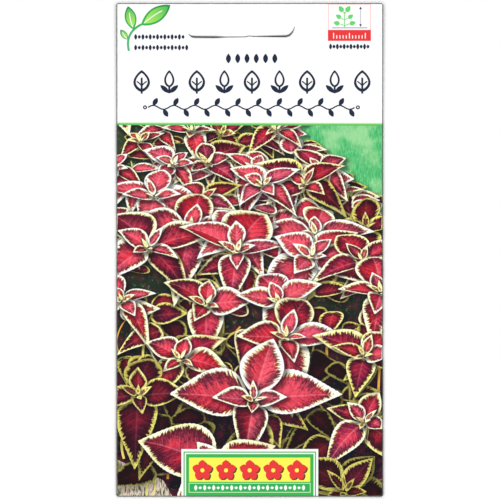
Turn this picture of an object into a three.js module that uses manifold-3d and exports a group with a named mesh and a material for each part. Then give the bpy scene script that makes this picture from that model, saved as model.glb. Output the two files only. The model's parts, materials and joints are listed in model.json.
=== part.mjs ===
// A sealed seed packet, lying on its back: one folded paper envelope with a hanging slit,
// and inside it a small heat-sealed sachet of loose seeds.
// Millimetres, +Z up out of the packet's front, +Y towards its top edge.
// The origin is at the middle of the back, on the surface that the packet lies on.

import * as THREE from 'three';
import { mergeVertices } from 'three/addons/utils/BufferGeometryUtils.js';
import Module from 'manifold-3d';

// ---- Driving dimensions ----

const PACKET_WIDTH = 80;
const PACKET_HEIGHT = 148;

const PAPER = 0.15;              // thickness of the coated paper
const LAYER_GAP = 0.1;           // air between two layers that lie on each other

const BACK_INSET = 0.3;          // from the packet's side edge to the back panel's cut edge
const BACK_TUCK = 0.8;           // from the packet's top edge to the back panel's cut edge
const TOP_FLAP_DEPTH = 14;
const TOP_FLAP_TAPER = 4;        // how far the top flap's free edge draws in at each end
const SIDE_FLAP_WIDTH = 12;
const SIDE_FLAP_TAPER = 9;       // how far a side flap's free edge draws in at each end
const SIDE_FLAP_END = 0.3;       // from the packet's top and bottom edges to a side flap's root

const PILLOW_RISE = 1.3;         // how far the sachet lifts the front panel
const PILLOW_CREST_X = 10;       // half width of the pillow's level top
const PILLOW_CREST_LOW = -50;    // the level top's lower and upper ends
const PILLOW_CREST_HIGH = -8;
const PILLOW_END_HIGH = 46;      // where the front panel is flat again
const FLAP_RAMP = 6;             // length of the step up on to the top flap

const SLIT_WIDTH = 0.3;
const SLIT_DROP = 10.2;          // from the packet's top edge to the slit's level stretch
const SLIT_LEFT_END = [-18.9, 1];    // across, and up from the level stretch
const SLIT_LEFT_BEND = [-18.5, 0];
const SLIT_LEVEL_LEFT = [-17.6, 0];
const SLIT_LEVEL_RIGHT = [10.8, 0];
const SLIT_RIGHT_BEND = [13, 0.4];
const SLIT_RIGHT_END = [13.7, 3.3];

const SACHET_WIDTH = 50;
const SACHET_LENGTH = 60;
const SACHET_BOTTOM = -66;
const WEB = 0.1;                 // thickness of one web
const SEAL = 6;                  // width of the seal round the sachet
const SACHET_RISE = 1.15;        // room for the seeds between the webs
const SACHET_SLOPE = 9;          // width of the slope from the seal to the full height
const NOTCH_DROP = 8;            // from the sachet's top edge to its tear notch
const NOTCH_SIZE = 2;

const SEED_COUNT = 40;
const SEED_DIAMETER = 0.9;       // the largest
const SEED_VARIATION = 0.08;     // the share by which the smallest falls short of it
const SEED_SPREAD = [1.05, 0.78];    // how fast the spiral of seeds opens, across and up
const SEED_SHAKE = 0.12;
const SEED_HEAP_Y = -46;         // where the seeds have gathered
const SEED_REST = 0.05;          // clearance under a seed
const SEED_DRAW = 20;            // start of the seeds' random draws

const COLUMNS = 14;              // grid lines across and up the panels
const ROWS = 24;
const FOLD_STEPS = 4;
const WEB_STEPS = 14;
const SAME_POINT = 1e-4;
const NUDGE = 1e-3;              // step for measuring a sheet's slope
const CUT_LOW = -1;              // a cutter's lower and upper ends, clear of the packet
const CUT_HIGH = 3;

// ---- Worked out from them ----

const PITCH = PAPER + LAYER_GAP;           // from one layer's middle to the next
const SIDE_RADIUS = PITCH / 2;             // the folds' radii at the middle of the paper
const BOTTOM_RADIUS = PITCH;
const TOP_RADIUS = 1.5 * PITCH;
const FOLD_X = PACKET_WIDTH / 2 - SIDE_RADIUS - PAPER / 2;
const FOLD_BOTTOM = -PACKET_HEIGHT / 2 + BOTTOM_RADIUS + PAPER / 2;
const FOLD_TOP = PACKET_HEIGHT / 2 - TOP_RADIUS - PAPER / 2;
const TOP_FLAP_EDGE = PACKET_HEIGHT / 2 - TOP_FLAP_DEPTH;
const BACK_X = PACKET_WIDTH / 2 - BACK_INSET;
const BACK_TOP = PACKET_HEIGHT / 2 - BACK_TUCK;
const SIDE_FLAP_LOW = -PACKET_HEIGHT / 2 + SIDE_FLAP_END;
const SIDE_FLAP_HIGH = PACKET_HEIGHT / 2 - SIDE_FLAP_END;
const SACHET_FLOOR = PAPER;                // the back panel's inner face
const SEAL_LEVEL = SACHET_FLOOR + WEB;     // where the two webs meet
const SACHET_MIDDLE = SACHET_BOTTOM + SACHET_LENGTH / 2;

const { smoothstep, lerp } = THREE.MathUtils;

const wasm = await Module();
wasm.setup();

const materials = {
  paper: new THREE.MeshStandardMaterial({ color: 0xf4f3ef, roughness: 0.45, metalness: 0 }),
  foil: new THREE.MeshStandardMaterial({ color: 0xc9ccd0, roughness: 0.35, metalness: 0.9 }),
  seed: new THREE.MeshStandardMaterial({ color: 0x2e211a, roughness: 0.5, metalness: 0 }),
};

// ---- Small tools ----

// Numbers from start to end in equal steps, both included.
function steps(start, end, count) {
  return Array.from({ length: count + 1 }, (_, i) => lerp(start, end, i / count));
}

// A solid for joining and cutting, from any closed geometry.
function solidOf(geometry) {
  const bare = new THREE.BufferGeometry();
  bare.setAttribute('position', geometry.getAttribute('position'));
  bare.setIndex(geometry.getIndex());
  const merged = mergeVertices(bare, SAME_POINT);
  return new wasm.Manifold(new wasm.Mesh({
    numProp: 3,
    vertProperties: new Float32Array(merged.getAttribute('position').array),
    triVerts: new Uint32Array(merged.getIndex().array),
  }));
}

function geometryOf(solid) {
  const mesh = solid.getMesh();
  const geometry = new THREE.BufferGeometry();
  geometry.setAttribute('position', new THREE.BufferAttribute(mesh.vertProperties, 3));
  geometry.setIndex(new THREE.BufferAttribute(mesh.triVerts, 1));
  return geometry;
}

function namedMesh(name, geometry, material) {
  geometry.computeVertexNormals();
  const mesh = new THREE.Mesh(geometry, material);
  mesh.name = name;
  return mesh;
}

// A flat outline raised from one level to another.
function plate(points, low, high) {
  const shape = new THREE.Shape(points);
  const geometry = new THREE.ExtrudeGeometry(shape, { depth: high - low, bevelEnabled: false });
  return geometry.translate(0, 0, low);
}

// ---- A sheet: a flat pattern of triangles, laid in space and given a thickness ----

class Sheet {
  constructor(surface, thickness) {
    this.surface = surface;      // (u, v) on the flat pattern to a point on the middle of the sheet
    this.thickness = thickness;
    this.points = [];
    this.triangles = [];
    this.indexOf = new Map();
  }

  vertex(u, v) {
    const key = `${u.toFixed(4)},${v.toFixed(4)}`;
    if (!this.indexOf.has(key)) {
      this.indexOf.set(key, this.points.length);
      this.points.push([u, v]);
    }
    return this.indexOf.get(key);
  }

  // Panels that share grid lines share their vertices, so a fold joins them.
  addPanel(columns, rows, place = (u, v) => [u, v]) {
    const at = (i, j) => this.vertex(...place(columns[i], rows[j]));
    for (let i = 0; i + 1 < columns.length; i += 1) {
      for (let j = 0; j + 1 < rows.length; j += 1) {
        this.triangles.push([at(i, j), at(i + 1, j), at(i + 1, j + 1)]);
        this.triangles.push([at(i, j), at(i + 1, j + 1), at(i, j + 1)]);
      }
    }
  }

  normal(u, v) {
    const along = this.surface(u + NUDGE, v).sub(this.surface(u - NUDGE, v));
    const up = this.surface(u, v + NUDGE).sub(this.surface(u, v - NUDGE));
    return along.cross(up).normalize();
  }

  // The edges that only one triangle has, in that triangle's direction.
  rim() {
    const edges = new Map();
    for (const [a, b, c] of this.triangles) {
      for (const [from, to] of [[a, b], [b, c], [c, a]]) {
        if (!edges.delete(`${to},${from}`)) edges.set(`${from},${to}`, [from, to]);
      }
    }
    return [...edges.values()];
  }

  geometry() {
    const count = this.points.length;
    const outer = [];
    const inner = [];
    for (const [u, v] of this.points) {
      const middle = this.surface(u, v);
      const half = this.normal(u, v).multiplyScalar(this.thickness / 2);
      outer.push(...middle.clone().add(half));
      inner.push(...middle.clone().sub(half));
    }
    const faces = [];
    for (const [a, b, c] of this.triangles) {
      faces.push(a, b, c);
      faces.push(a + count, c + count, b + count);
    }
    for (const [from, to] of this.rim()) {
      faces.push(from, from + count, to + count);
      faces.push(from, to + count, to);
    }
    const geometry = new THREE.BufferGeometry();
    geometry.setAttribute('position', new THREE.Float32BufferAttribute([...outer, ...inner], 3));
    geometry.setIndex(faces);
    return geometry;
  }
}

// ---- The envelope ----

// The middle of the back panel, which steps up on to the top flap.
function backLevel(y) {
  return PAPER / 2 + PITCH * smoothstep(y, TOP_FLAP_EDGE - FLAP_RAMP, TOP_FLAP_EDGE);
}

// How far the sachet lifts the front panel, which is flat at all four edges.
function pillow(x, y) {
  const across = 1 - smoothstep(Math.abs(x), PILLOW_CREST_X, FOLD_X);
  const low = smoothstep(y, FOLD_BOTTOM, PILLOW_CREST_LOW);
  const high = 1 - smoothstep(y, PILLOW_CREST_HIGH, PILLOW_END_HIGH);
  return PILLOW_RISE * across * low * high;
}

function frontLevel(x, y) {
  return backLevel(y) + 2 * PITCH + pillow(x, y);
}

// How far a strip of paper gets past a half-round fold, outwards and down, after a given run.
function fold(run, radius) {
  const turned = Math.min(run / radius, Math.PI);
  const beyond = Math.max(run - radius * Math.PI, 0);
  return { out: radius * Math.sin(turned) - beyond, down: radius * (1 - Math.cos(turned)) };
}

// A point of the flat blank, carried to its place in the folded envelope.
function foldedPoint(u, v) {
  if (Math.abs(u) > FOLD_X) {
    const { out, down } = fold(Math.abs(u) - FOLD_X, SIDE_RADIUS);
    return new THREE.Vector3(Math.sign(u) * (FOLD_X + out), v, frontLevel(FOLD_X, v) - down);
  }
  if (v > FOLD_TOP) {
    const { out, down } = fold(v - FOLD_TOP, TOP_RADIUS);
    return new THREE.Vector3(u, FOLD_TOP + out, frontLevel(u, FOLD_TOP) - down);
  }
  if (v < FOLD_BOTTOM) {
    const { out, down } = fold(FOLD_BOTTOM - v, BOTTOM_RADIUS);
    const y = FOLD_BOTTOM - out;
    const step = backLevel(y) - backLevel(FOLD_BOTTOM);
    return new THREE.Vector3(u, y, frontLevel(u, FOLD_BOTTOM) - down + step);
  }
  return new THREE.Vector3(u, v, frontLevel(u, v));
}

// Draws a flap's ends in, from nothing at its root to the taper at its free edge.
function tapered(value, halfLength, share, taper) {
  return value * (1 - (share * taper) / halfLength);
}

function addSideFlap(sheet, side, rows) {
  const arc = SIDE_RADIUS * Math.PI;
  const root = FOLD_X + arc;
  const tip = FOLD_X + arc + SIDE_FLAP_WIDTH;
  const outwards = [...steps(FOLD_X, root, FOLD_STEPS), tip];
  const columns = outwards.map((u) => side * u).sort((a, b) => a - b);
  sheet.addPanel(columns, rows, (u, v) => {
    const share = Math.max(Math.abs(u) - root, 0) / SIDE_FLAP_WIDTH;
    return [u, tapered(v, SIDE_FLAP_HIGH, share, SIDE_FLAP_TAPER)];
  });
}

function addTopFlap(sheet, columns) {
  const root = FOLD_TOP + TOP_RADIUS * Math.PI;
  const tip = root + FOLD_TOP - TOP_FLAP_EDGE;
  const rows = [...steps(FOLD_TOP, root, FOLD_STEPS), tip];
  sheet.addPanel(columns, rows, (u, v) => {
    const share = Math.max(v - root, 0) / (tip - root);
    return [tapered(u, BACK_X, share, TOP_FLAP_TAPER), v];
  });
}

function addBackPanel(sheet, columns) {
  const root = FOLD_BOTTOM - BOTTOM_RADIUS * Math.PI;
  const flat = root - (TOP_FLAP_EDGE - FLAP_RAMP - FOLD_BOTTOM);
  const ramp = flat - FLAP_RAMP;
  const tip = root - (BACK_TOP - FOLD_BOTTOM);
  const arcs = steps(root, FOLD_BOTTOM, FOLD_STEPS);
  sheet.addPanel(columns, [tip, ...steps(ramp, flat, 4), ...arcs]);
}

// The slit's middle line: level, with a short rise at its left end and a longer one at its right.
function slitLine() {
  const level = PACKET_HEIGHT / 2 - SLIT_DROP;
  const bend = (points, count) => {
    const [start, middle, end] = points.map(([x, rise]) => new THREE.Vector2(x, level + rise));
    return new THREE.QuadraticBezierCurve(start, middle, end).getPoints(count);
  };
  const left = bend([SLIT_LEFT_END, SLIT_LEFT_BEND, SLIT_LEVEL_LEFT], FOLD_STEPS);
  const right = bend([SLIT_LEVEL_RIGHT, SLIT_RIGHT_BEND, SLIT_RIGHT_END], 2 * FOLD_STEPS);
  return [...left, ...right];
}

function slitCutter() {
  const line = slitLine();
  const above = [];
  const below = [];
  line.forEach((point, i) => {
    const before = line[Math.max(i - 1, 0)];
    const after = line[Math.min(i + 1, line.length - 1)];
    const along = after.clone().sub(before).normalize();
    const across = new THREE.Vector2(-along.y, along.x).multiplyScalar(SLIT_WIDTH / 2);
    above.push(point.clone().add(across));
    below.push(point.clone().sub(across));
  });
  return solidOf(plate([...below, ...above.reverse()], CUT_LOW, CUT_HIGH));
}

function envelope() {
  const sheet = new Sheet(foldedPoint, PAPER);
  const inner = steps(-BACK_X, BACK_X, COLUMNS);
  const flapRows = steps(SIDE_FLAP_LOW, SIDE_FLAP_HIGH, ROWS);
  sheet.addPanel([-FOLD_X, ...inner, FOLD_X], [FOLD_BOTTOM, ...flapRows, FOLD_TOP]);
  addSideFlap(sheet, -1, flapRows);
  addSideFlap(sheet, 1, flapRows);
  addTopFlap(sheet, inner);
  addBackPanel(sheet, inner);
  const paper = solidOf(sheet.geometry()).subtract(slitCutter());
  return namedMesh('envelope', geometryOf(paper), materials.paper);
}

// ---- The sachet and its seeds ----

// How far the front web stands off the back web.
function sachetRise(x, y) {
  const slope = (distance, side) => {
    const foot = side / 2 - SEAL;
    return 1 - smoothstep(Math.abs(distance), foot - SACHET_SLOPE, foot);
  };
  return SACHET_RISE * slope(x, SACHET_WIDTH) * slope(y - SACHET_MIDDLE, SACHET_LENGTH);
}

function tearNotch() {
  const y = SACHET_BOTTOM + SACHET_LENGTH - NOTCH_DROP;
  const edge = SACHET_WIDTH / 2;
  const points = [
    new THREE.Vector2(edge - NOTCH_SIZE, y),
    new THREE.Vector2(edge + NOTCH_SIZE, y - NOTCH_SIZE),
    new THREE.Vector2(edge + NOTCH_SIZE, y + NOTCH_SIZE),
  ];
  return solidOf(plate(points, CUT_LOW, CUT_HIGH));
}

function sachetGrid(start, length) {
  const inside = steps(start + SEAL, start + length - SEAL, WEB_STEPS);
  return [start, ...inside, start + length];
}

function sachetFrontWeb() {
  const middle = SEAL_LEVEL + WEB / 2;
  const sheet = new Sheet((u, v) => new THREE.Vector3(u, v, middle + sachetRise(u, v)), WEB);
  sheet.addPanel(sachetGrid(-SACHET_WIDTH / 2, SACHET_WIDTH), sachetGrid(SACHET_BOTTOM, SACHET_LENGTH));
  const web = solidOf(sheet.geometry()).subtract(tearNotch());
  return namedMesh('sachet_front_web', geometryOf(web), materials.foil);
}

function sachetBackWeb() {
  const sheet = new Sheet((u, v) => new THREE.Vector3(u, v, SACHET_FLOOR + WEB / 2), WEB);
  sheet.addPanel([-SACHET_WIDTH / 2, SACHET_WIDTH / 2], [SACHET_BOTTOM, SACHET_BOTTOM + SACHET_LENGTH]);
  const web = solidOf(sheet.geometry()).subtract(tearNotch());
  return namedMesh('sachet_back_web', geometryOf(web), materials.foil);
}

// Repeatable draws between 0 and 1.
function makeDraw(start) {
  let state = start;
  return () => {
    state = (state * 1664525 + 1013904223) % 4294967296;
    return state / 4294967296;
  };
}

// The seeds lie one deep on the back web, spread like the florets of a sunflower and shaken a little.
function seeds() {
  const draw = makeDraw(SEED_DRAW);
  const goldenTurn = Math.PI * (3 - Math.sqrt(5));
  return Array.from({ length: SEED_COUNT }, (_, i) => {
    const size = SEED_DIAMETER * (1 - SEED_VARIATION * draw());
    const reach = Math.sqrt(i + 0.5);
    const shake = SEED_SHAKE * (draw() - 0.5);
    const geometry = new THREE.IcosahedronGeometry(size / 2, 1);
    geometry.rotateX(draw() * Math.PI).rotateZ(draw() * Math.PI);
    geometry.computeBoundingBox();
    const mesh = namedMesh(`seed_${String(i + 1).padStart(2, '0')}`, geometry, materials.seed);
    mesh.position.set(
      SEED_SPREAD[0] * reach * Math.cos(goldenTurn * i) + shake,
      SEED_HEAP_Y + SEED_SPREAD[1] * reach * Math.sin(goldenTurn * i) + shake,
      SEAL_LEVEL + SEED_REST - geometry.boundingBox.min.z,
    );
    return mesh;
  });
}

// ---- The packet ----

const packet = new THREE.Group();
packet.name = 'seed_packet';
packet.add(envelope(), sachetBackWeb(), sachetFrontWeb(), ...seeds());

export default packet;
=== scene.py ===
"""A printed paper seed packet with a hanging slit, and the foil sachet of loose seeds inside it."""

import json
import math
import random

import bpy
import numpy as np
from bpy.props import FloatProperty, FloatVectorProperty, IntProperty, PointerProperty
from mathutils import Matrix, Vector
from mathutils.geometry import delaunay_2d_cdt

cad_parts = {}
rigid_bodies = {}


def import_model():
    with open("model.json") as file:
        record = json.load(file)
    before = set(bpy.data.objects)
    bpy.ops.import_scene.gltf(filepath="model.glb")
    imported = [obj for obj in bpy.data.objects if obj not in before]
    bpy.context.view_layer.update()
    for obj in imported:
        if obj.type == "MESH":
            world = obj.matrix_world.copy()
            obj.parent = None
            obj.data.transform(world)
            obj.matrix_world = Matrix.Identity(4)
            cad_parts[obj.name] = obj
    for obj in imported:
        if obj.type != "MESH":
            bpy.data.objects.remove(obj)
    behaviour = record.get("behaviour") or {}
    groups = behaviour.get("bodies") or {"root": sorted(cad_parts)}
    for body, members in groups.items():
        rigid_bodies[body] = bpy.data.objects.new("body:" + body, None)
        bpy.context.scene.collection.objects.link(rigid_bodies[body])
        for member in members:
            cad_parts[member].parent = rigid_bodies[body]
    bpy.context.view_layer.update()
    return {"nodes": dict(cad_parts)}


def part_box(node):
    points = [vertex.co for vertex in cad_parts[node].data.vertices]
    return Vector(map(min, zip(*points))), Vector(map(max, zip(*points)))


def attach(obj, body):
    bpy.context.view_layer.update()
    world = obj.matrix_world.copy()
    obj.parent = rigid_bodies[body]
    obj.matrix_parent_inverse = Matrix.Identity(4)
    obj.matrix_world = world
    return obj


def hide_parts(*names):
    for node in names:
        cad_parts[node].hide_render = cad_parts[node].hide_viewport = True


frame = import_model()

bl_info = {
    "name": "Seed Packet",
    "version": (1, 0, 0),
    "blender": (4, 5, 0),
    "location": "3D View > Sidebar > Seed Packet",
    "description": "Builds a folded and printed seed packet with its sachet and seeds",
    "category": "Add Mesh",
}

MM = 0.001  # one millimetre in the scene's metres
SAME_POINT = 1e-4  # millimetres within which two points of the flat blank are one


# ---- Settings ----


def length(name, description, millimetres):
    """A size that a user can change, kept in metres."""
    return FloatProperty(
        name=name, description=description, default=millimetres * MM, precision=5, unit="LENGTH"
    )


def ink(name, description, red, green, blue):
    """A printed colour, given as it is read on a screen."""
    default = (red / 255, green / 255, blue / 255)
    return FloatVectorProperty(
        name=name, description=description, default=default, min=0, max=1, subtype="COLOR_GAMMA"
    )


class SheetSettings(bpy.types.PropertyGroup):
    """Sizes of the one sheet that the envelope is folded from."""

    paper: length("Paper", "Thickness of the coated paper", 0.15)
    layer_gap: length("Layer gap", "Air between two layers that lie on each other", 0.1)
    back_inset: length("Back inset", "From the side edge to the back panel's cut edge", 0.3)
    back_tuck: length("Back tuck", "From the top edge to the back panel's cut edge", 0.8)
    top_flap_depth: length("Top flap depth", "How far the top flap reaches down the back", 14)
    top_flap_taper: length("Top flap taper", "How far its free edge draws in at each end", 4)
    side_flap_width: length("Side flap width", "How far the side flaps reach inwards", 12)
    side_flap_taper: length("Side flap taper", "How far their free edges draw in at each end", 9)
    side_flap_end: length("Side flap end", "From the top and bottom edges to their roots", 0.3)
    pillow_crest: length("Pillow crest", "Half width of the lifted front's level top", 10)
    pillow_low: length("Pillow low end", "Where the level top begins, above the middle", -50)
    pillow_high: length("Pillow high end", "Where the level top ends, above the middle", -8)
    pillow_end: length("Pillow end", "Where the front is flat again, above the middle", 46)
    flap_ramp: length("Flap ramp", "Length of the back panel's step up on to the top flap", 6)
    slit_drop: length("Slit drop", "From the top edge to the hanging slit's level stretch", 10.2)
    slit_open: length("Slit opening", "Widest part of the hanging slit", 0.56)
    slit_closed: length("Slit closed", "Width of the slit where its lips meet", 0.17)
    tongue_lift: length("Tongue lift", "How far the paper tongue above the slit stands up", 0.22)


class PictureSettings(bpy.types.PropertyGroup):
    """The printed foliage picture on the front."""

    top: length("Top", "The picture's upper edge, above the packet's middle", 37.4)
    tilt: length("Tilt", "How much lower the picture's upper edge is at the right", 0.2)
    bleed: length("Bleed", "How far the picture runs on round the folds", 1.4)
    mesh: length("Mesh", "Spacing of the points that carry the picture's shading", 0.85)
    draw: IntProperty(name="Draw", description="Start of the foliage's random draws", default=7)
    shadow: ink("Shadow", "Deepest shade between the leaves", 14, 6, 22)
    maroon: ink("Maroon", "Leaf in the shade", 74, 12, 38)
    burgundy: ink("Burgundy", "Leaf body", 156, 24, 56)
    crimson: ink("Crimson", "Leaf body in full light", 242, 38, 60)
    plum: ink("Plum", "Cooler leaves", 150, 28, 92)
    rose: ink("Rose", "Veins and light on the leaf", 252, 132, 152)
    cream: ink("Cream", "Leaf margin in full light", 255, 242, 202)
    lime: ink("Lime", "Leaf margin in the shade", 240, 226, 116)
    straw_green: ink("Straw green", "Flecks in a shaded margin", 150, 168, 66)
    moss: ink("Moss", "Undergrowth", 58, 84, 52)
    lawn: ink("Lawn", "Open grass", 112, 208, 130)
    pale_lawn: ink("Pale lawn", "Sunlit grass", 176, 232, 168)
    straw: ink("Straw", "Dry ground", 226, 208, 188)
    amber: ink("Amber", "Stems and young growth", 236, 176, 74)


class InkSettings(bpy.types.PropertyGroup):
    """The flat inks of the header, the label and the back."""

    paper_white: ink("Paper white", "Unprinted coated paper", 252, 252, 250)
    navy: ink("Navy", "Header ornaments", 31, 42, 66)
    leaf_green: ink("Leaf green", "Sprig and label frame", 58, 182, 84)
    deep_green: ink("Deep green", "Shaded side of the sprig", 34, 140, 78)
    fresh_green: ink("Fresh green", "Light side of the sprig", 176, 240, 104)
    pale_green: ink("Pale green", "Upper edge of the rule", 214, 246, 196)
    red: ink("Red", "Small panel and blossoms", 236, 58, 60)
    yellow: ink("Yellow", "Label field", 250, 246, 88)
    dark_green: ink("Dark green", "Blossoms' shadow", 32, 62, 34)
    label_green: ink("Label green", "Label's lower strip", 47, 176, 88)


class SachetSettings(bpy.types.PropertyGroup):
    """The foil sachet and the seeds in it."""

    seal: length("Seal", "Width of the seal round the sachet", 6)
    slope: length("Slope", "Width of the slope from the seal to the full height", 9)
    notch_drop: length("Notch drop", "From the top edge to the tear notch", 8)
    notch_size: length("Notch size", "Depth of the tear notch", 2)
    wrinkle: length("Wrinkle", "Height of the creases in the foil", 0.05)
    foil: ink("Foil", "Metal of the sachet", 206, 208, 212)
    seed: ink("Seed", "Seed coat", 58, 40, 30)


class StageSettings(bpy.types.PropertyGroup):
    """The pale floor, the soft light and the camera."""

    frame_height: length("Frame height", "Height of the view at the packet", 149.79)
    centre_x: length("View centre across", "View centre, to the right of the packet's", 0.06)
    centre_y: length("View centre up", "View centre, above the packet's", -0.045)
    distance: length("Distance", "From the packet up to the camera", 1100)
    floor_size: length("Floor size", "Side of the square floor", 3000)
    sky: FloatProperty(name="Sky", description="Strength of the even light", default=0.3, min=0)
    key: FloatProperty(name="Key", description="Power of each soft box in watts", default=6.7, min=0)


# ---- Small tools ----


def smoothstep(value, low, high):
    share = np.clip((value - low) / (high - low), 0.0, 1.0)
    return share * share * (3.0 - 2.0 * share)


def linear(colour):
    """A screen colour as light, with full opacity."""
    shares = [c / 12.92 if c <= 0.04045 else ((c + 0.055) / 1.055) ** 2.4 for c in colour]
    return (*shares, 1.0)


def deselect_all():
    for other in bpy.context.view_layer.objects:
        other.select_set(False)


def make_active(piece):
    deselect_all()
    piece.select_set(True)
    bpy.context.view_layer.objects.active = piece


def apply_transform():
    """Makes the active object's place, turn and scale part of its mesh."""
    bpy.ops.object.transform_apply(location=True, rotation=True, scale=True)


def apply_modifier(piece, kind, **values):
    make_active(piece)
    modifier = piece.modifiers.new(kind.title(), kind)
    for name, value in values.items():
        setattr(modifier, name, value)
    bpy.ops.object.modifier_apply(modifier=modifier.name)


def coordinates(mesh):
    """A mesh's vertex places as rows of x, y and z."""
    flat = np.empty(len(mesh.vertices) * 3)
    mesh.vertices.foreach_get("co", flat)
    return flat.reshape(-1, 3)


def per_face(mesh, name):
    """One whole number for each of a mesh's faces."""
    values = np.empty(len(mesh.polygons), dtype=int)
    mesh.polygons.foreach_get(name, values)
    return values


def place_vertices(mesh, rows):
    mesh.vertices.foreach_set("co", np.asarray(rows, dtype=float).ravel())
    mesh.update()


def box_of(points):
    """The lowest and the highest x and y of some points."""
    return points.min(axis=0), points.max(axis=0)


def within(points, low, high):
    """Which of the points lie in a box."""
    return ((points > low) & (points < high)).all(axis=1)


def inside(points, outline):
    """Which of the points lie inside a closed outline."""
    found = np.zeros(len(points), dtype=bool)
    low, high = box_of(outline)
    near = np.flatnonzero(((points >= low) & (points <= high)).all(axis=1))
    if not len(near):
        return found
    x, y = points[near, 0, None], points[near, 1, None]
    ax, ay = outline.T
    bx, by = np.roll(outline, -1, axis=0).T
    rise = np.where(by == ay, 1.0, by - ay)
    crossed = ((ay > y) != (by > y)) & (x < ax + (y - ay) * (bx - ax) / rise)
    found[near] = crossed.sum(axis=1) % 2 == 1
    return found


def distance_to(points, outline):
    """How far each point is from a closed outline."""
    start = outline[None, :, :]
    run = np.roll(outline, -1, axis=0)[None, :, :] - start
    square = np.maximum((run**2).sum(axis=2), 1e-12)
    offset = points[:, None, :] - start
    share = np.clip((offset * run).sum(axis=2) / square, 0.0, 1.0)
    return np.sqrt(((offset - share[:, :, None] * run) ** 2).sum(axis=2).min(axis=1))


def resampled(path, step):
    """A closed path with its points about one step apart."""
    loop = np.vstack([path, path[:1]])
    runs = np.concatenate([[0.0], np.cumsum(np.linalg.norm(np.diff(loop, axis=0), axis=1))])
    count = max(int(round(runs[-1] / step)), 8)
    marks = np.linspace(0.0, runs[-1], count, endpoint=False)
    return np.column_stack([np.interp(marks, runs, loop[:, axis]) for axis in (0, 1)])


def sideways(path):
    """The unit direction across a path at each of its points, to its left."""
    along = np.gradient(path, axis=0)
    along /= np.linalg.norm(along, axis=1)[:, None]
    return np.column_stack([-along[:, 1], along[:, 0]])


def turned(points, angle):
    cosine, sine = math.cos(angle), math.sin(angle)
    return points @ np.array([[cosine, sine], [-sine, cosine]])


# ---- The folded sheet ----


def round_fold(run, radius):
    """How far a strip gets past a half-round fold, outwards and down, after a run."""
    angle = np.clip(run / radius, 0.0, math.pi)
    beyond = np.maximum(run - radius * math.pi, 0.0)
    out = np.where(run < 0.0, run, radius * np.sin(angle) - beyond)
    return out, radius * (1.0 - np.cos(angle))


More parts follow.
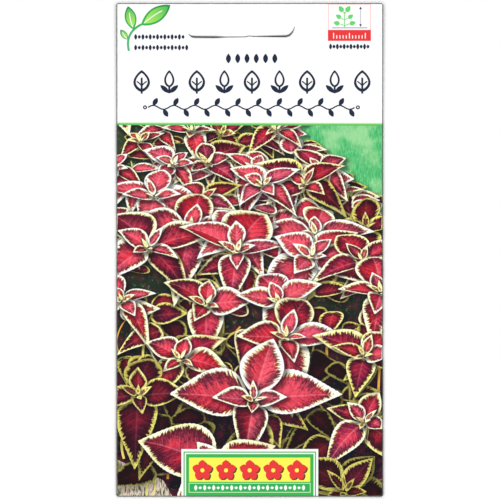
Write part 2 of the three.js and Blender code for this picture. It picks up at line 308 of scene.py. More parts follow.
class FoldedSheet:
    """The envelope's one sheet, in millimetres: its cut outline, and where folding carries it."""

    SLIT_POINTS = (  # the slit's middle line, across and up from its level stretch
        (-18.3, 0.82), (-18.0, 0.5), (-17.6, 0.24), (-17.1, 0.06), (-16.4, 0.0), (-10.4, -0.04),
        (-7.4, -0.04), (-3.2, 0.0), (-1.4, 0.02), (-0.2, 0.3), (0.9, 0.18), (2.2, 0.16),
        (10.8, 0.2), (11.8, 0.48), (12.6, 1.2), (13.1, 2.05), (13.4, 2.9),
    )
    SLIT_MEETS = (-6.8, 1.6)  # where the slit's lips touch
    SLIT_FADE = 3.0  # from there to where they stand fully apart
    SLIT_TAPERS = (1.6, 1.4)  # over which they close again at the left and the right end
    TONGUE_REACH = 6.0  # how far above the slit the tongue is lifted
    TONGUE_FADE = 5.0  # from the slit's ends to where it is fully lifted

    def __init__(self, settings):
        self.half_width, self.half_height, self.crest = (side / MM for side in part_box("envelope")[1])
        for name in SheetSettings.__annotations__:
            setattr(self, name, getattr(settings, name) / MM)
        self.pitch = self.paper + self.layer_gap
        self.side_radius = self.pitch / 2
        self.bottom_radius = self.pitch
        self.top_radius = 1.5 * self.pitch
        self.fold_x = self.half_width - self.side_radius - self.paper / 2
        self.fold_bottom = -self.half_height + self.bottom_radius + self.paper / 2
        self.fold_top = self.half_height - self.top_radius - self.paper / 2
        self.flap_edge = self.half_height - self.top_flap_depth
        self.back_x = self.half_width - self.back_inset
        self.pillow_rise = self.crest - self.paper - 2 * self.pitch
        # Lines on the flat blank: where each half-round fold ends, and each panel's free edge.
        self.side_root = self.fold_x + math.pi * self.side_radius
        self.side_tip = self.side_root + self.side_flap_width
        self.side_high = self.half_height - self.side_flap_end
        self.back_root = self.fold_bottom - math.pi * self.bottom_radius
        self.back_tip = self.on_back_panel(self.half_height - self.back_tuck)
        self.top_root = self.fold_top + math.pi * self.top_radius
        self.top_tip = self.top_root + self.fold_top - self.flap_edge

    def on_back_panel(self, y):
        """Where a height on the folded back panel lies on the flat blank."""
        return self.back_root - (y - self.fold_bottom)

    def on_top_flap(self, y):
        return self.top_root + (self.fold_top - y)

    def back_level(self, y):
        step = smoothstep(y, self.flap_edge - self.flap_ramp, self.flap_edge)
        return self.paper / 2 + self.pitch * step

    def pillow(self, x, y):
        across = 1 - smoothstep(np.abs(x), self.pillow_crest, self.fold_x)
        low = smoothstep(y, self.fold_bottom, self.pillow_low)
        high = 1 - smoothstep(y, self.pillow_high, self.pillow_end)
        return self.pillow_rise * across * low * high

    def tongue(self, x, y):
        """The lift of the paper tongue above the hanging slit."""
        left, right, fade = self.SLIT_POINTS[0][0], self.SLIT_POINTS[-1][0], self.TONGUE_FADE
        lip = np.interp(x, *np.array(self.SLIT_POINTS).T) + self.half_height - self.slit_drop
        window = smoothstep(x, left, left + fade) * (1 - smoothstep(x, right - fade, right))
        fall = np.clip(1 - (y - lip) / self.TONGUE_REACH, 0.0, 1.0) ** 2
        return np.where(y > lip, self.tongue_lift * window * fall, 0.0)

    def front_level(self, x, y):
        return self.back_level(y) + 2 * self.pitch + self.pillow(x, y)

    def folded(self, u, v):
        """Carries points of the flat blank to the middle of the folded paper."""
        side_out, side_down = round_fold(np.abs(u) - self.fold_x, self.side_radius)
        top_out, top_down = round_fold(v - self.fold_top, self.top_radius)
        low_out, low_down = round_fold(self.fold_bottom - v, self.bottom_radius)
        x = np.sign(u) * (self.fold_x + side_out)
        y = np.where(v > 0, self.fold_top + top_out, self.fold_bottom - low_out)
        fold_u = np.clip(u, -self.fold_x, self.fold_x)
        fold_v = np.clip(v, self.fold_bottom, self.fold_top)
        z = self.front_level(fold_u, fold_v) - side_down - top_down - low_down
        back = v < self.fold_bottom
        z = z + np.where(back, self.back_level(y) - self.paper / 2, 0.0)
        return np.column_stack([x, y, z + self.tongue(x, y)])

    def outline(self):
        """The blank's cut outline, counter-clockwise from the front's lower left corner."""
        draw_in = self.side_high - self.side_flap_taper
        right = [
            (self.back_x, self.fold_bottom), (self.fold_x, self.fold_bottom),
            (self.fold_x, -self.side_high), (self.side_root, -self.side_high),
            (self.side_tip, -draw_in), (self.side_tip, draw_in),
            (self.side_root, self.side_high), (self.fold_x, self.side_high),
            (self.fold_x, self.fold_top), (self.back_x, self.fold_top),
            (self.back_x, self.top_root), (self.back_x - self.top_flap_taper, self.top_tip),
        ]
        left = [(-u, v) for u, v in reversed(right)]
        back = [(-self.back_x, self.back_tip), (self.back_x, self.back_tip)]
        return np.array(left + back + right)

    def slit_spread(self, x):
        """1 where the slit's lips stand apart, at both thirds, and 0 where they meet."""
        left, right = self.SLIT_MEETS
        start, end = self.SLIT_POINTS[0][0], self.SLIT_POINTS[-1][0]
        first, last = self.SLIT_TAPERS
        apart = 1 - smoothstep(x, left - self.SLIT_FADE, left)
        apart = apart + smoothstep(x, right, right + self.SLIT_FADE)
        return apart * smoothstep(x, start, start + first) * (1 - smoothstep(x, end - last, end))

    def slit_outline(self, opening, lip):
        """The slit on the folded packet, with a strip of paper as wide as the lip round it."""
        line = np.array(self.SLIT_POINTS) + (0.0, self.half_height - self.slit_drop)
        width = self.slit_closed + (opening - self.slit_closed) * self.slit_spread(line[:, 0])
        half = sideways(line) * (width[:, None] / 2 + lip)
        return np.vstack([line - half, (line + half)[::-1]])

    def slits(self, lip=0.0):
        """The slit, or it and its lips, where it goes through front, back panel and top flap.

        Only the front's lips stand apart: the layers behind it stay nearly closed.
        """
        front = self.slit_outline(self.slit_open, lip)
        behind = self.slit_outline(self.slit_closed, lip)
        back = np.column_stack([behind[:, 0], self.on_back_panel(behind[:, 1])])
        flap = np.column_stack([behind[:, 0], self.on_top_flap(behind[:, 1])])
        return front, back, flap

    def creases(self, steps=6):
        """Lines along the half-round folds, close enough together to look round."""
        lines = []
        for low, high in ((self.fold_x, self.side_root), (-self.side_root, -self.fold_x)):
            for u in np.linspace(low, high, steps + 1):
                lines.append([(u, -self.side_high), (u, self.side_high)])
        for low, high in ((self.fold_top, self.top_root), (self.back_root, self.fold_bottom)):
            for v in np.linspace(low, high, steps + 1):
                lines.append([(-self.back_x, v), (self.back_x, v)])
        return lines


# ---- Flat shapes of the print, in millimetres on the blank ----


class Shape:
    """One printed shape: an outline, an ink, and for the foliage picture how it takes light."""

    def __init__(self, outline, colour, kind="flat", leaf=None, in_picture=False):
        self.outline = split_edges(np.asarray(outline, dtype=float))
        self.colour = colour
        self.kind = kind
        self.leaf = leaf
        self.in_picture = in_picture

    def ink_at(self, points):
        """The linear colour at each point: even, or running from one ink to another."""
        if isinstance(self.colour, Run):
            return self.colour.at(points)
        return np.tile(linear(self.colour), (len(points), 1))


class Run:
    """An ink that runs into another between two points."""

    def __init__(self, start, start_colour, end, end_colour):
        self.start = np.array(start, dtype=float)
        self.way = np.array(end, dtype=float) - self.start
        self.colours = np.array([linear(start_colour), linear(end_colour)])

    def at(self, points):
        share = np.clip((points - self.start) @ self.way / (self.way @ self.way), 0.0, 1.0)[:, None]
        return (1 - share) * self.colours[0] + share * self.colours[1]


def split_edges(outline):
    """The same outline with its long edges in shorter pieces, so that a part of one can be hidden."""
    shortest, longest, parts = 0.3, 2.0, 24
    runs = np.roll(outline, -1, axis=0) - outline
    sizes = np.linalg.norm(runs, axis=1)
    step = min(max(sizes.sum() / parts, shortest), longest)
    pieces = []
    for corner, run, size in zip(outline, runs, sizes):
        count = max(int(math.ceil(size / step)), 1)
        pieces.append(corner + run * np.arange(count)[:, None] / count)
    return np.vstack(pieces)


def bar(left, low, right, high):
    return np.array([(left, low), (right, low), (right, high), (left, high)])


def disc(x, y, radius, corners=28):
    angles = np.linspace(0, 2 * math.pi, corners, endpoint=False)
    return np.column_stack([x + radius * np.cos(angles), y + radius * np.sin(angles)])


def petal(x, y, angle, size, width, fullness=1.0, corners=13):
    """A pointed petal that grows from a point in the direction of the angle."""
    share = np.linspace(0, 1, corners)
    half = width / 2 * np.sin(math.pi * share**fullness) ** 0.8
    upper = np.column_stack([size * share, half])
    lower = np.column_stack([size * share, -half])[-2:0:-1]
    return turned(np.vstack([upper, lower])[::-1], angle) + (x, y)


def stroke(path, width):
    """A line of even width along a path, with tapered ends."""
    path = np.asarray(path, dtype=float)
    across = sideways(path) * width / 2
    return np.vstack([path - across, (path + across)[::-1]])


def curve(points, count=14):
    """A smooth path through a quadratic curve's three points."""
    start, middle, end = (np.array(point, dtype=float) for point in points)
    share = np.linspace(0, 1, count)[:, None]
    return (1 - share) ** 2 * start + 2 * share * (1 - share) * middle + share**2 * end


# ---- Foliage for the picture ----


class Leaf:
    """A pointed, variegated leaf on a shoot, as it is seen from the front and above.

    Its own flat shape is given across and along in millimetres. It grows from its base in a
    heading, rises, droops towards its tip, and is folded a little along its midrib.
    """

    EDGE_STEP = 0.37  # millimetres between the points of its outline
    REACH = 0.95  # how far it reaches out level for its length
    UP = np.array((0.0, 0.0, 1.0))
    SUN = np.array((-0.52, -0.22, 0.83))  # the way to the sun: across, away and up
    SKYLIGHT, SUNLIGHT = 0.46, 0.78  # light that every place gets, and what full sun adds

    def __init__(self, draw, base, heading, size, level, view, rise=0.25, droop=0.5, slim=1.0):
        self.base = np.array(base, dtype=float)
        self.size = size
        self.level = level
        self.half_width = size * slim * draw.uniform(0.26, 0.34)
        self.tone = draw.random()
        self.fold = draw.uniform(0.12, 0.42)
        roll = draw.uniform(-0.35, 0.35)
        sine, cosine = math.sin(view), math.cos(view)
        ahead = np.array((math.cos(heading), math.sin(heading), 0.0)) * self.REACH
        level_side = np.array((-math.sin(heading), math.cos(heading), 0.0))
        side = level_side * math.cos(roll) + math.sin(roll) * self.UP
        screen = np.array(((1.0, 0.0), (0.0, sine), (0.0, cosine)))
        start = (ahead + rise * self.UP) @ screen
        if start[1] > 0:
            droop = min(droop, 0.42 * start[1] / cosine)
        self.ahead, self.side = start * size, side @ screen
        self.sag = np.array((0.0, droop * cosine)) * size
        self.lift = np.array((0.0, self.fold * cosine))
        self.space = (ahead, side, rise, droop)
        self.flat = self.edge(draw)
        self.outline = self.placed(self.flat)

    def edge(self, draw):
        """The outline as the leaf lies flat: round below, with a drawn-out tip."""
        share = np.linspace(0, 1, 90)
        peak = draw.uniform(0.62, 0.78)
        half = self.half_width * np.sin(math.pi * share**peak) ** draw.uniform(0.8, 0.95)
        lobe = draw.uniform(0.0, 0.16) * (half / self.half_width) ** 2 * (1 - share) ** 3
        along = self.size * (0.91 * share + 0.09 * share**7 - lobe)
        right = np.column_stack([half, along])
        left = np.column_stack([-half, along])[-2:0:-1]
        path = resampled(np.vstack([right, left]), self.EDGE_STEP)
        pitch = draw.uniform(0.8, 1.2) * (0.8 + 0.02 * self.size)
        marks = np.arange(len(path)) * self.EDGE_STEP / pitch + draw.random()
        reach = (0.04 + 0.006 * self.size) * (np.abs(np.sin(math.pi * marks)) ** 0.8 - 0.5)
        run = np.gradient(path, axis=0)
        run /= np.maximum(np.linalg.norm(run, axis=1), 1e-9)[:, None]
        return path + np.column_stack([run[:, 1], -run[:, 0]]) * reach[:, None]

    def placed(self, flat):
        """Carries places on the flat leaf to the picture."""
        across, share = flat[:, :1], flat[:, 1:] / self.size
        way = share * self.ahead - share**2 * self.sag
        return self.base + way + across * self.side + np.abs(across) * self.lift

    def local(self, points):
        """Across and along the leaf for points of the picture: what undoes placed()."""
        offset = points - self.base
        found = np.zeros((2, len(points), 2))
        fits = np.zeros(len(points), dtype=bool)
        for i, half in enumerate((1.0, -1.0)):
            side = self.side + half * self.lift
            first = -np.sum(self.ahead * (side[1], -side[0]))
            second = np.sum(self.sag * (side[1], -side[0]))
            rest = offset @ np.array((side[1], -side[0]))
            root = np.sqrt(np.maximum(first**2 - 4 * second * rest, 0.0))
            below = -first + math.copysign(1.0, -first) * root
            share = 2 * rest / np.where(np.abs(below) < 1e-9, 1e-9, below)
            way = share[:, None] * self.ahead - share[:, None] ** 2 * self.sag
            across = (offset - way) @ side / (side @ side)
            found[i] = np.column_stack([across, share * self.size])
            if i == 0:
                fits = across >= 0
        return np.where(fits[:, None], found[0], found[1])

    def light(self, flat, half):
        """How much light each place gets on one half of the leaf, about 1 in full light."""
        ahead, side, rise, droop = self.space
        share = np.clip(flat[:, 1] / self.size, 0.0, 1.0)
        outer = np.clip(np.abs(flat[:, 0]) / self.half_width, 0.0, 1.0)
        along = ahead + (rise - 2 * droop * share)[:, None] * self.UP
        across = side + (half * self.fold * (1.8 - 1.7 * outer))[:, None] * self.UP
        normal = np.cross(along, across)
        normal /= np.linalg.norm(normal, axis=1)[:, None]
        return self.SKYLIGHT + self.SUNLIGHT * np.clip(normal @ self.SUN, 0.0, 1.0)


class Foliage:
    """Rosettes of paired leaves over darker ones, small at the top and large at the bottom."""

    SHADOW_FALL = (0.4, -0.75)  # how far a leaf's shadow falls, across and up
    BEHIND, OVER_LAWN, STEMS = 260, 60, 60  # how many background leaves, fringe leaves and stems
    START = 3  # how far above the picture's top edge the leaves behind the rosettes begin
    LAWN_LEFT = 9  # the open lawn's edge at the picture's top, right of the middle
    # A value at the picture's top edge, and how much is added to it down to the bottom edge.
    VIEW = (38, 24)  # degrees from the level
    ROSETTE = (12, 16)  # millimetres
    APART, ROW_STEP = (1.04, 0.52), (0.64, 0.22)  # between rosettes of size 1
    PAIRS = (  # a rosette's pairs of leaves, from below: reach, how much brighter, droop
        (1.0, -0.14, 0.62), (0.86, -0.02, 0.5), (0.5, 0.04, 0.3), (0.28, 0.08, 0.1), (0.16, 0.1, 0.0),
    )

    def __init__(self, settings, sheet):
        self.settings = settings
        self.draw = random.Random(settings.draw)
        self.bleed = settings.bleed / MM
        self.top = settings.top / MM
        self.left = -sheet.side_root - self.bleed
        self.right = sheet.side_root + self.bleed
        self.low = sheet.back_root - self.bleed

    def frame(self):
        """The picture's outline, a little askew at the top, as it is printed."""
        high = self.top - self.settings.tilt / MM
        lower = [(self.left, self.low), (self.right, self.low)]
        return np.array(lower + [(self.right, high), (self.left, self.top)])

    def depth(self, y):
        """0 at the picture's top edge and 1 at its bottom edge."""
        return min(max((self.top - y) / (self.top - self.low), 0.0), 1.0)

    def at(self, y, value):
        return value[0] + value[1] * self.depth(y)

    def view(self, y):
        """How steeply the plants are looked down on: more so near the bottom."""
        return math.radians(self.at(y, self.VIEW))

    def open_ground(self, x, y):
        """Whether a place is on the open lawn, at the upper right."""
        return x > self.LAWN_LEFT + self.top - y

    def sunlit(self, x, y):
        """How much brighter or darker a stretch of the planting is: brightest near the top."""
        drift = math.sin(0.11 * x + 0.05 * y + 0.6) * math.cos(0.085 * y - 0.04 * x + 0.3)
        return 0.26 * drift + 0.18 - 0.64 * self.depth(y) ** 3

    def leaf(self, x, y, heading, size, level, **form):
        level = max(level + self.sunlit(x, y), 0.0)
        made = Leaf(self.draw, (x, y), heading, size, level, self.view(y), **form)
        return Shape(made.outline, (0, 0, 0), "leaf", made, in_picture=True)

    def background(self):
        """Dark leaves that hang in the depth between the rosettes."""
        draw = self.draw
        shapes = []
        start = self.top + self.START
        for _ in range(self.BEHIND):
            x = draw.uniform(self.left, self.right)
            y = start - (start - self.low) * draw.random() ** 1.3
            size = draw.uniform(6, 11) + draw.uniform(1, 10) * self.depth(y)
            heading = draw.uniform(-math.pi - 0.3, 0.3)
            level = draw.uniform(0.05, 0.78) + 0.5 * (0.45 - self.depth(y))
            droop = draw.uniform(0.2, 0.7)
            if not self.open_ground(x + 4, y + 4):
                shapes.append(self.leaf(x, y, heading, size, level, droop=droop))
        return self.brightest_last(shapes)

    def fringe(self):
        """Leaves that reach out over the open lawn, along the planting's edge."""
        draw = self.draw
        shapes = []
        for _ in range(self.OVER_LAWN):
            y = self.top + self.START - draw.uniform(0, 31)
            x = self.LAWN_LEFT - 2 + (self.top - y) + draw.uniform(-5, 2)
            heading = draw.uniform(-1.2, 2.0)
            size = draw.uniform(6, 11)
            shapes.append(self.leaf(x, y, heading, size, draw.uniform(0.25, 1.0), droop=0.35))
        return self.brightest_last(shapes)

    @staticmethod
    def brightest_last(shapes):
        """The leaves in the order to print them, so that the lighter ones lie on top."""
        return sorted(shapes, key=lambda shape: shape.leaf.level)

    def rosette(self, x, y, size, height):
        """Pairs of leaves, each turned by a right angle from the pair below, and a young tip."""
        draw = self.draw
        first = draw.uniform(0, math.pi)
        shapes = []
        for i, (reach, brighter, droop) in enumerate(self.PAIRS):
            quarter = first + i * math.pi / 2
            headings = [quarter + turn + draw.uniform(-0.4, 0.4) for turn in (0, math.pi)]
            headings.sort(key=lambda heading: -math.sin(heading))
            for heading in headings:
                grown = size * reach * draw.uniform(0.75, 1.18)
                out = 0.07 * grown
                place = (x + out * math.cos(heading), y + out * math.sin(heading))
                sag = droop * draw.uniform(0.7, 1.3)
                level = height + brighter + draw.uniform(-0.12, 0.1)
                form = {"rise": 0.12 + 0.16 * i, "droop": sag, "slim": 1.0 if i < 3 else 0.8}
                shapes.append(self.leaf(*place, heading, grown, level, **form))
        return shapes

    def stems(self):
        """Thin curved stems, the lowest layer of the planting."""
        draw = self.draw
        shapes = []
        for _ in range(self.STEMS):
            x = draw.uniform(self.left, self.right)
            y = draw.uniform(self.low, self.top - 4)
            lean = draw.uniform(-5, 5)
            size = draw.uniform(7, 16)
            path = curve([(x, y), (x + lean, y - size / 2), (x + lean / 2, y - size)])
            width = draw.uniform(0.35, 0.8)
            colour = self.settings.amber if draw.random() < 0.5 else self.settings.lime
            if not self.open_ground(x, y):
                shapes.append(Shape(stroke(path, width), colour, "stem", in_picture=True))
        return shapes

    def hubs(self):
        """Where the rosettes grow: small and close at the top, large and wide apart below."""
        draw = self.draw
        places = []
        y = self.top + 5
        row = 0
        while y > self.low - 12:
            size = self.at(y, self.ROSETTE)
            spacing = size * self.at(y, self.APART)
            x = self.left + spacing * (0.15 + 0.5 * (row % 2)) + draw.uniform(-2, 2)
            while x < self.right + 6:
                shifted = x + draw.uniform(-0.2, 0.2) * spacing
                lifted = y + draw.uniform(-0.25, 0.25) * spacing
                if not self.open_ground(shifted, lifted):
                    grown, height = size * draw.uniform(0.66, 1.22), draw.uniform(0.62, 1.26)
                    places.append((shifted, lifted, grown, height))
                x += spacing
            y -= size * self.at(y, self.ROW_STEP)
            row += 1
        places.sort(key=lambda place: -place[1] + 6 * place[3])
        return places

    def shapes(self):
        """The whole picture, in the order it is printed: ground, stems, leaves, rosettes."""
        picture = self.settings
        edge = [(self.right, self.top), (6, self.top), (11, 33), (16, 29), (26, 19), (self.right, 4)]
        dry = [(self.left, self.low), (-22, self.low), (-26, -69), (-33, -66), (self.left, -62)]
        shapes = [
            Shape(self.frame(), picture.moss, "undergrowth", in_picture=True),
            Shape(edge, picture.lawn, "lawn", in_picture=True),
            Shape(dry, picture.straw, "straw", in_picture=True),
        ]
        shapes += self.stems()
        shapes += self.background()
        shapes += self.fringe()
        for place in self.hubs():
            shapes += self.rosette(*place)
        return shapes


# ---- Header, label and back ----


class Ornaments:
    """The flat inks: a leafy header, a small panel, a label with blossoms, and a plain back.

    Each part is a list of outlines and their inks, in the order that they are printed.
    """

    UP = math.pi / 2
    EYE = 0.62  # radius of a blossom's middle and of the vine's end rings

    # Heights above the packet's middle.
    BUD_ROW = 55.9
    LEAF_ROW = 47.0
    VINE_ROW = 42.7
    BLOSSOM_ROW = -66.05
    PICTOGRAM_ROW = 38.3

    VINE_WAVE = 6.2
    PLANT_X = 28.4  # the plant in the height panel
    ARROW_X = 33.175
    BACK_EDGE = 39.7
    CELL, CELL_FILL = (4.7, 5.6), (4.5, 5.4)  # far corners of a month's cell and of its colour
    CELL_PITCH = 5.2
    PICTOGRAMS_X = (-25.5, -8.5, 8.5, 25.5)

    # Inks that are used once.
    RULE_MIDDLE = (0.49, 0.82, 0.42)
    RULE_FOOT = (0.37, 0.74, 0.4)
    STALK_FOOT = (0.36, 0.72, 0.5)
    PANEL_EDGE = (1.0, 0.78, 0.77)
    PLANT_GREEN = (0.42, 0.84, 0.45)
    GROUND_GREY = (0.7, 0.7, 0.84)
    ARROW_GREY = (0.72, 0.72, 0.8)
    RULED_GREY = (0.72, 0.75, 0.78)
    DROP_BLUE = (0.2, 0.55, 0.8)

    def __init__(self, settings, sheet, picture):
        self.inks = settings
        self.sheet = sheet
        self.picture_left, self.picture_right = picture[3], picture[2]

    def rule(self):
        """The green line between header and picture, pale at its upper edge."""
        left, right = self.picture_left, self.picture_right
        tops = ((0.9, self.inks.pale_green), (0.62, self.RULE_MIDDLE), (0.3, self.RULE_FOOT))
        return [([left, right, right + (0, top), left + (0, top)], colour) for top, colour in tops]

    def title(self):
        """Three navy rows: small buds, nine outlined leaves, and a running vine."""
        navy, white = self.inks.navy, self.inks.paper_white
        places = []
        for x in np.linspace(-6.4, 7.5, 6):
            places.append((petal(x, self.BUD_ROW, self.UP, 2.9, 1.5), navy))
        for i, x in enumerate(np.linspace(-32.4, 33.7, 9)):
            places += self.outlined_leaf(x, self.LEAF_ROW, bud=i % 2 == 1)
        left, right = -30.5, 31.4
        along = np.linspace(left, right, 75)
        swing = 0.62 * np.sin((along - left) * 2 * math.pi / self.VINE_WAVE)
        places.append((stroke(np.column_stack([along, self.VINE_ROW + swing]), 0.42), navy))
        for i, x in enumerate(np.arange(-29.0, 30.5, self.VINE_WAVE / 2)):
            side = 1 if i % 2 == 0 else -1
            places.append((petal(x, self.VINE_ROW + 0.5 * side, side * 1.05, 2.7, 1.45), navy))
        for x in (left - 0.9, right + 1.0):
            places.append((disc(x, self.VINE_ROW, self.EYE), navy))
            places.append((disc(x, self.VINE_ROW, 0.24), white))
        return places

    def outlined_leaf(self, x, y, bud):
        """An upright leaf drawn with a thin line, or a bud with two sepals."""
        navy, white, up = self.inks.navy, self.inks.paper_white, self.UP
        if bud:
            return [
                (petal(x, y + 1.6, up, 5.3, 3.1, 0.8), navy),
                (petal(x, y + 2.3, up, 3.8, 1.9, 0.8), white),
                (petal(x, y, up + 0.85, 3.6, 1.4), navy),
                (petal(x, y, up - 0.85, 3.6, 1.4), navy),
                (bar(x - 0.3, y - 0.1, x + 0.3, y + 2.2), navy),
            ]
        places = [
            (petal(x, y + 0.2, up, 6.7, 5.0, 0.85), navy),
            (petal(x, y + 1.15, up, 4.9, 3.55, 0.85), white),
            (bar(x - 0.3, y - 0.2, x + 0.3, y + 4.6), navy),
        ]
        for side in (1, -1):
            vein = [(x, y + 2.2), (x + 0.8 * side, y + 3.0), (x + 1.5 * side, y + 3.5)]
            places.append((stroke(vein, 0.4), navy))
        return places

    def sprig(self):
        """The green seedling at the upper left, with two rows of small buds beside it."""
        inks = self.inks
        stalk = curve([(-36.2, 59.6), (-37.6, 65.0), (-32.4, 67.6)])
        stalk_ink = Run(stalk[0], self.STALK_FOOT, stalk[-1], inks.leaf_green)
        places = [(stroke(stalk, 0.68), stalk_ink)]
        for angle, size, width, x, y in (
            (0.6, 10.7, 4.5, -32.6, 67.3), (1.8, 7.2, 3.5, -34.9, 66.0), (2.2, 3.7, 1.9, -36.6, 63.0),
        ):
            way = np.array((math.cos(angle), math.sin(angle)))
            root = np.array((x, y)) + 0.1 * size * way
            tip = root + 0.9 * size * way
            shade = Run(root, inks.leaf_green, tip, inks.deep_green)
            light = Run(root, inks.fresh_green, tip, inks.leaf_green)
            crest = root + 0.35 * size * way + 0.1 * width * np.array((-way[1], way[0]))
            end = root + 0.62 * size * way
            places += [
                (petal(x, y, angle, size, width), shade),
                (petal(*root, angle, 0.82 * size, 0.76 * width), light),
                (stroke(curve([root, crest, end], 7), 0.26), inks.paper_white),
            ]
        return places + self.buds(-34.2, -20.0, 62.9, 1.1) + self.buds(-34.2, -18.9, 59.7, 1.1)

    def buds(self, left, right, y, spacing):
        """A row of small upright buds, large and small by turns."""
        count = int(round((right - left) / spacing)) + 1
        large = 1.8
        places = []
        for i, x in enumerate(np.linspace(left, right, count)):
            tall = large * (0.66 if i % 2 else 1.0)
            outline = petal(x, y + (large - tall) / 2, self.UP, tall, 0.9, corners=7)
            places.append((outline, self.inks.navy))
        return places

    def height_panel(self):
        """The small panel at the upper right: a plant beside a height arrow, over a tick scale."""
        inks = self.inks
        white, green, middle = inks.paper_white, self.PLANT_GREEN, self.PLANT_X
        places = [
            (bar(23.4, 65.9, 36.3, 73.75), self.PANEL_EDGE),
            (bar(23.4, 62.6, 36.3, 65.9), inks.red),
            (bar(23.65, 65.9, 36.05, 73.5), white),
            (bar(28.27, 66.5, 28.53, 71.3), green),
        ]
        for rise, out, angle, size in (
            (0.6, 1.5, 0.25, 1.9), (2.3, 1.1, 0.6, 1.8), (4.2, 0.5, 1.0, 2.1),
        ):
            for side in (1, -1):
                root = (middle + side * out, 67.1 + rise)
                bend = (middle + side * out / 2, root[1] - 0.2)
                heading = angle if side > 0 else math.pi - angle
                places.append((stroke([(middle, root[1] - 0.6), bend, root], 0.22), green))
                places.append((petal(*root, heading, size, 0.72 * size, 0.72), green))
        places.append((bar(24.6, 66.35, 35.2, 66.7), self.GROUND_GREY))
        places.append((bar(33.06, 67.1, 33.29, 72.4), self.ARROW_GREY))
        for y, way in ((72.9, -1), (66.8, 1)):
            foot, tip_x = y + 0.8 * way, self.ARROW_X
            places.append(([(tip_x, y), (tip_x - 0.42, foot), (tip_x + 0.42, foot)], inks.navy))
        for i, x in enumerate(np.linspace(25.1, 34.6, 11)):
            tall = 1.7 if i % 5 == 0 else 1.0
            places.append((bar(x - 0.14, 63.3, x + 0.14, 63.3 + tall), white))
        return places + self.buds(24.2, 35.4, 60.0, 1.02)

    def label(self):
        """The framed label on the picture's lower edge: a row of blossoms over a green strip."""
        inks = self.inks
        end = self.sheet.back_root - 0.6
        frames = (
            (20.5, -59.65, inks.paper_white), (19.85, -60.4, inks.leaf_green),
            (19.5, -60.75, inks.paper_white), (19.1, -61.15, inks.leaf_green),
        )
        places = [(bar(-half, end, half, top), colour) for half, top, colour in frames]
        places += [
            (bar(-18.2, -69.5, 18.1, -62.2), inks.yellow),
            (bar(-18.3, -72.75, 18.2, -69.85), inks.pale_green),
            (bar(-18.1, -72.55, 18.0, -70.05), inks.label_green),
        ]
        across = np.linspace(-14.2, 14.1, 5)
        for x in across:
            places += self.blossom(x + 0.32, self.BLOSSOM_ROW - 0.3, inks.dark_green)
        for x in across:
            places += self.blossom(x, self.BLOSSOM_ROW, inks.red)
            places.append((disc(x, self.BLOSSOM_ROW, self.EYE, 16), inks.yellow))
        for i, x in enumerate(np.linspace(-16.2, 16.1, 25)):
            tall = 0.9 if i % 2 else 1.7
            outline = petal(x, -71.3 - tall / 2, self.UP, tall, 0.95, corners=7)
            places.append((outline, inks.paper_white))
        return places

    def blossom(self, x, y, colour):
        angles = [self.UP + i * 2 * math.pi / 5 for i in range(5)]
        return [(petal(x, y, angle, 3.15, 2.45, 1.35), colour) for angle in angles]

    def on_back(self, outline):
        """A shape drawn as the back is looked at, carried to the back panel of the blank."""
        return np.column_stack([-outline[:, 0], self.sheet.on_back_panel(outline[:, 1])])

    def back(self):
        """The back: a green band, a year's strip of twelve cells, plain pictograms and ruled lines."""
        inks = self.inks
        places = [
            (bar(-self.BACK_EDGE, 47.5, self.BACK_EDGE, 53.4), inks.leaf_green),
            (bar(-self.BACK_EDGE, 46.7, self.BACK_EDGE, 47.2), inks.fresh_green),
        ]
        rows = ((27.0, inks.fresh_green), (20.6, inks.yellow), (14.2, inks.red))
        for row, (y, colour) in enumerate(rows):
            for i in range(12):
                corner = np.array((-30.9 + i * self.CELL_PITCH, y))
                fill = colour if row * 2 + 1 <= i <= row * 2 + 3 else inks.paper_white
                places.append((bar(*corner, *(corner + self.CELL)), inks.navy))
                places.append((bar(*(corner + 0.2), *(corner + self.CELL_FILL)), fill))
        for x in self.PICTOGRAMS_X:
            places.append((disc(x, self.PICTOGRAM_ROW, 5.2, 40), inks.leaf_green))
            places.append((disc(x, self.PICTOGRAM_ROW, 4.6, 40), inks.paper_white))
        places += self.pictograms()
        for i in range(9):
            y = 4.6 - i * 4.6
            right = 33.0 if i % 3 else 26.0
            places.append((bar(-33.0, y, right, y + 0.35), self.RULED_GREY))
        places.append((bar(-33.0, -66.0, 33.0, -40.5), inks.leaf_green))
        places.append((bar(-32.4, -65.4, 32.4, -41.1), inks.paper_white))
        for x in (-20.5, 0.0, 20.5):
            for angle in (0.6, 1.57, 2.54):
                places.append((petal(x, -61.0, angle, 11.4, 4.8), inks.leaf_green))
                places.append((petal(x, -61.0, angle, 9.6, 3.0), inks.fresh_green))
        return places

    def pictograms(self):
        """A drop, a sun, a seedling and a spade-deep seed, in that order."""
        inks, row = self.inks, self.PICTOGRAM_ROW
        drop, sun, seedling, seed = self.PICTOGRAMS_X
        places = [(petal(drop, 42.0, -self.UP, 6.6, 4.2, 1.5), self.DROP_BLUE)]
        places.append((disc(sun, row, 1.7), inks.yellow))
        for i in range(8):
            angle = i * math.pi / 4
            x, y = sun + 2.2 * math.cos(angle), row + 2.2 * math.sin(angle)
            places.append((petal(x, y, angle, 1.7, 0.7), inks.yellow))
        return places + [
            (bar(seedling - 0.2, 35.2, seedling + 0.2, 39.2), inks.deep_green),
            (petal(seedling, 38.4, 0.5, 3.3, 1.7), inks.leaf_green),
            (petal(seedling, 38.4, 2.64, 3.3, 1.7), inks.leaf_green),
            (bar(seed - 3.2, 38.0, seed + 3.2, 38.5), inks.navy),
            (disc(seed, 36.4, 0.9), inks.navy),
        ]

    def shapes(self):
        """Everything over the picture, in the order it is printed."""
        places = self.rule() + self.title() + self.sprig() + self.height_panel() + self.label()
        places += [(self.on_back(outline), colour) for outline, colour in self.back()]
        return [Shape(outline, colour) for outline, colour in places]


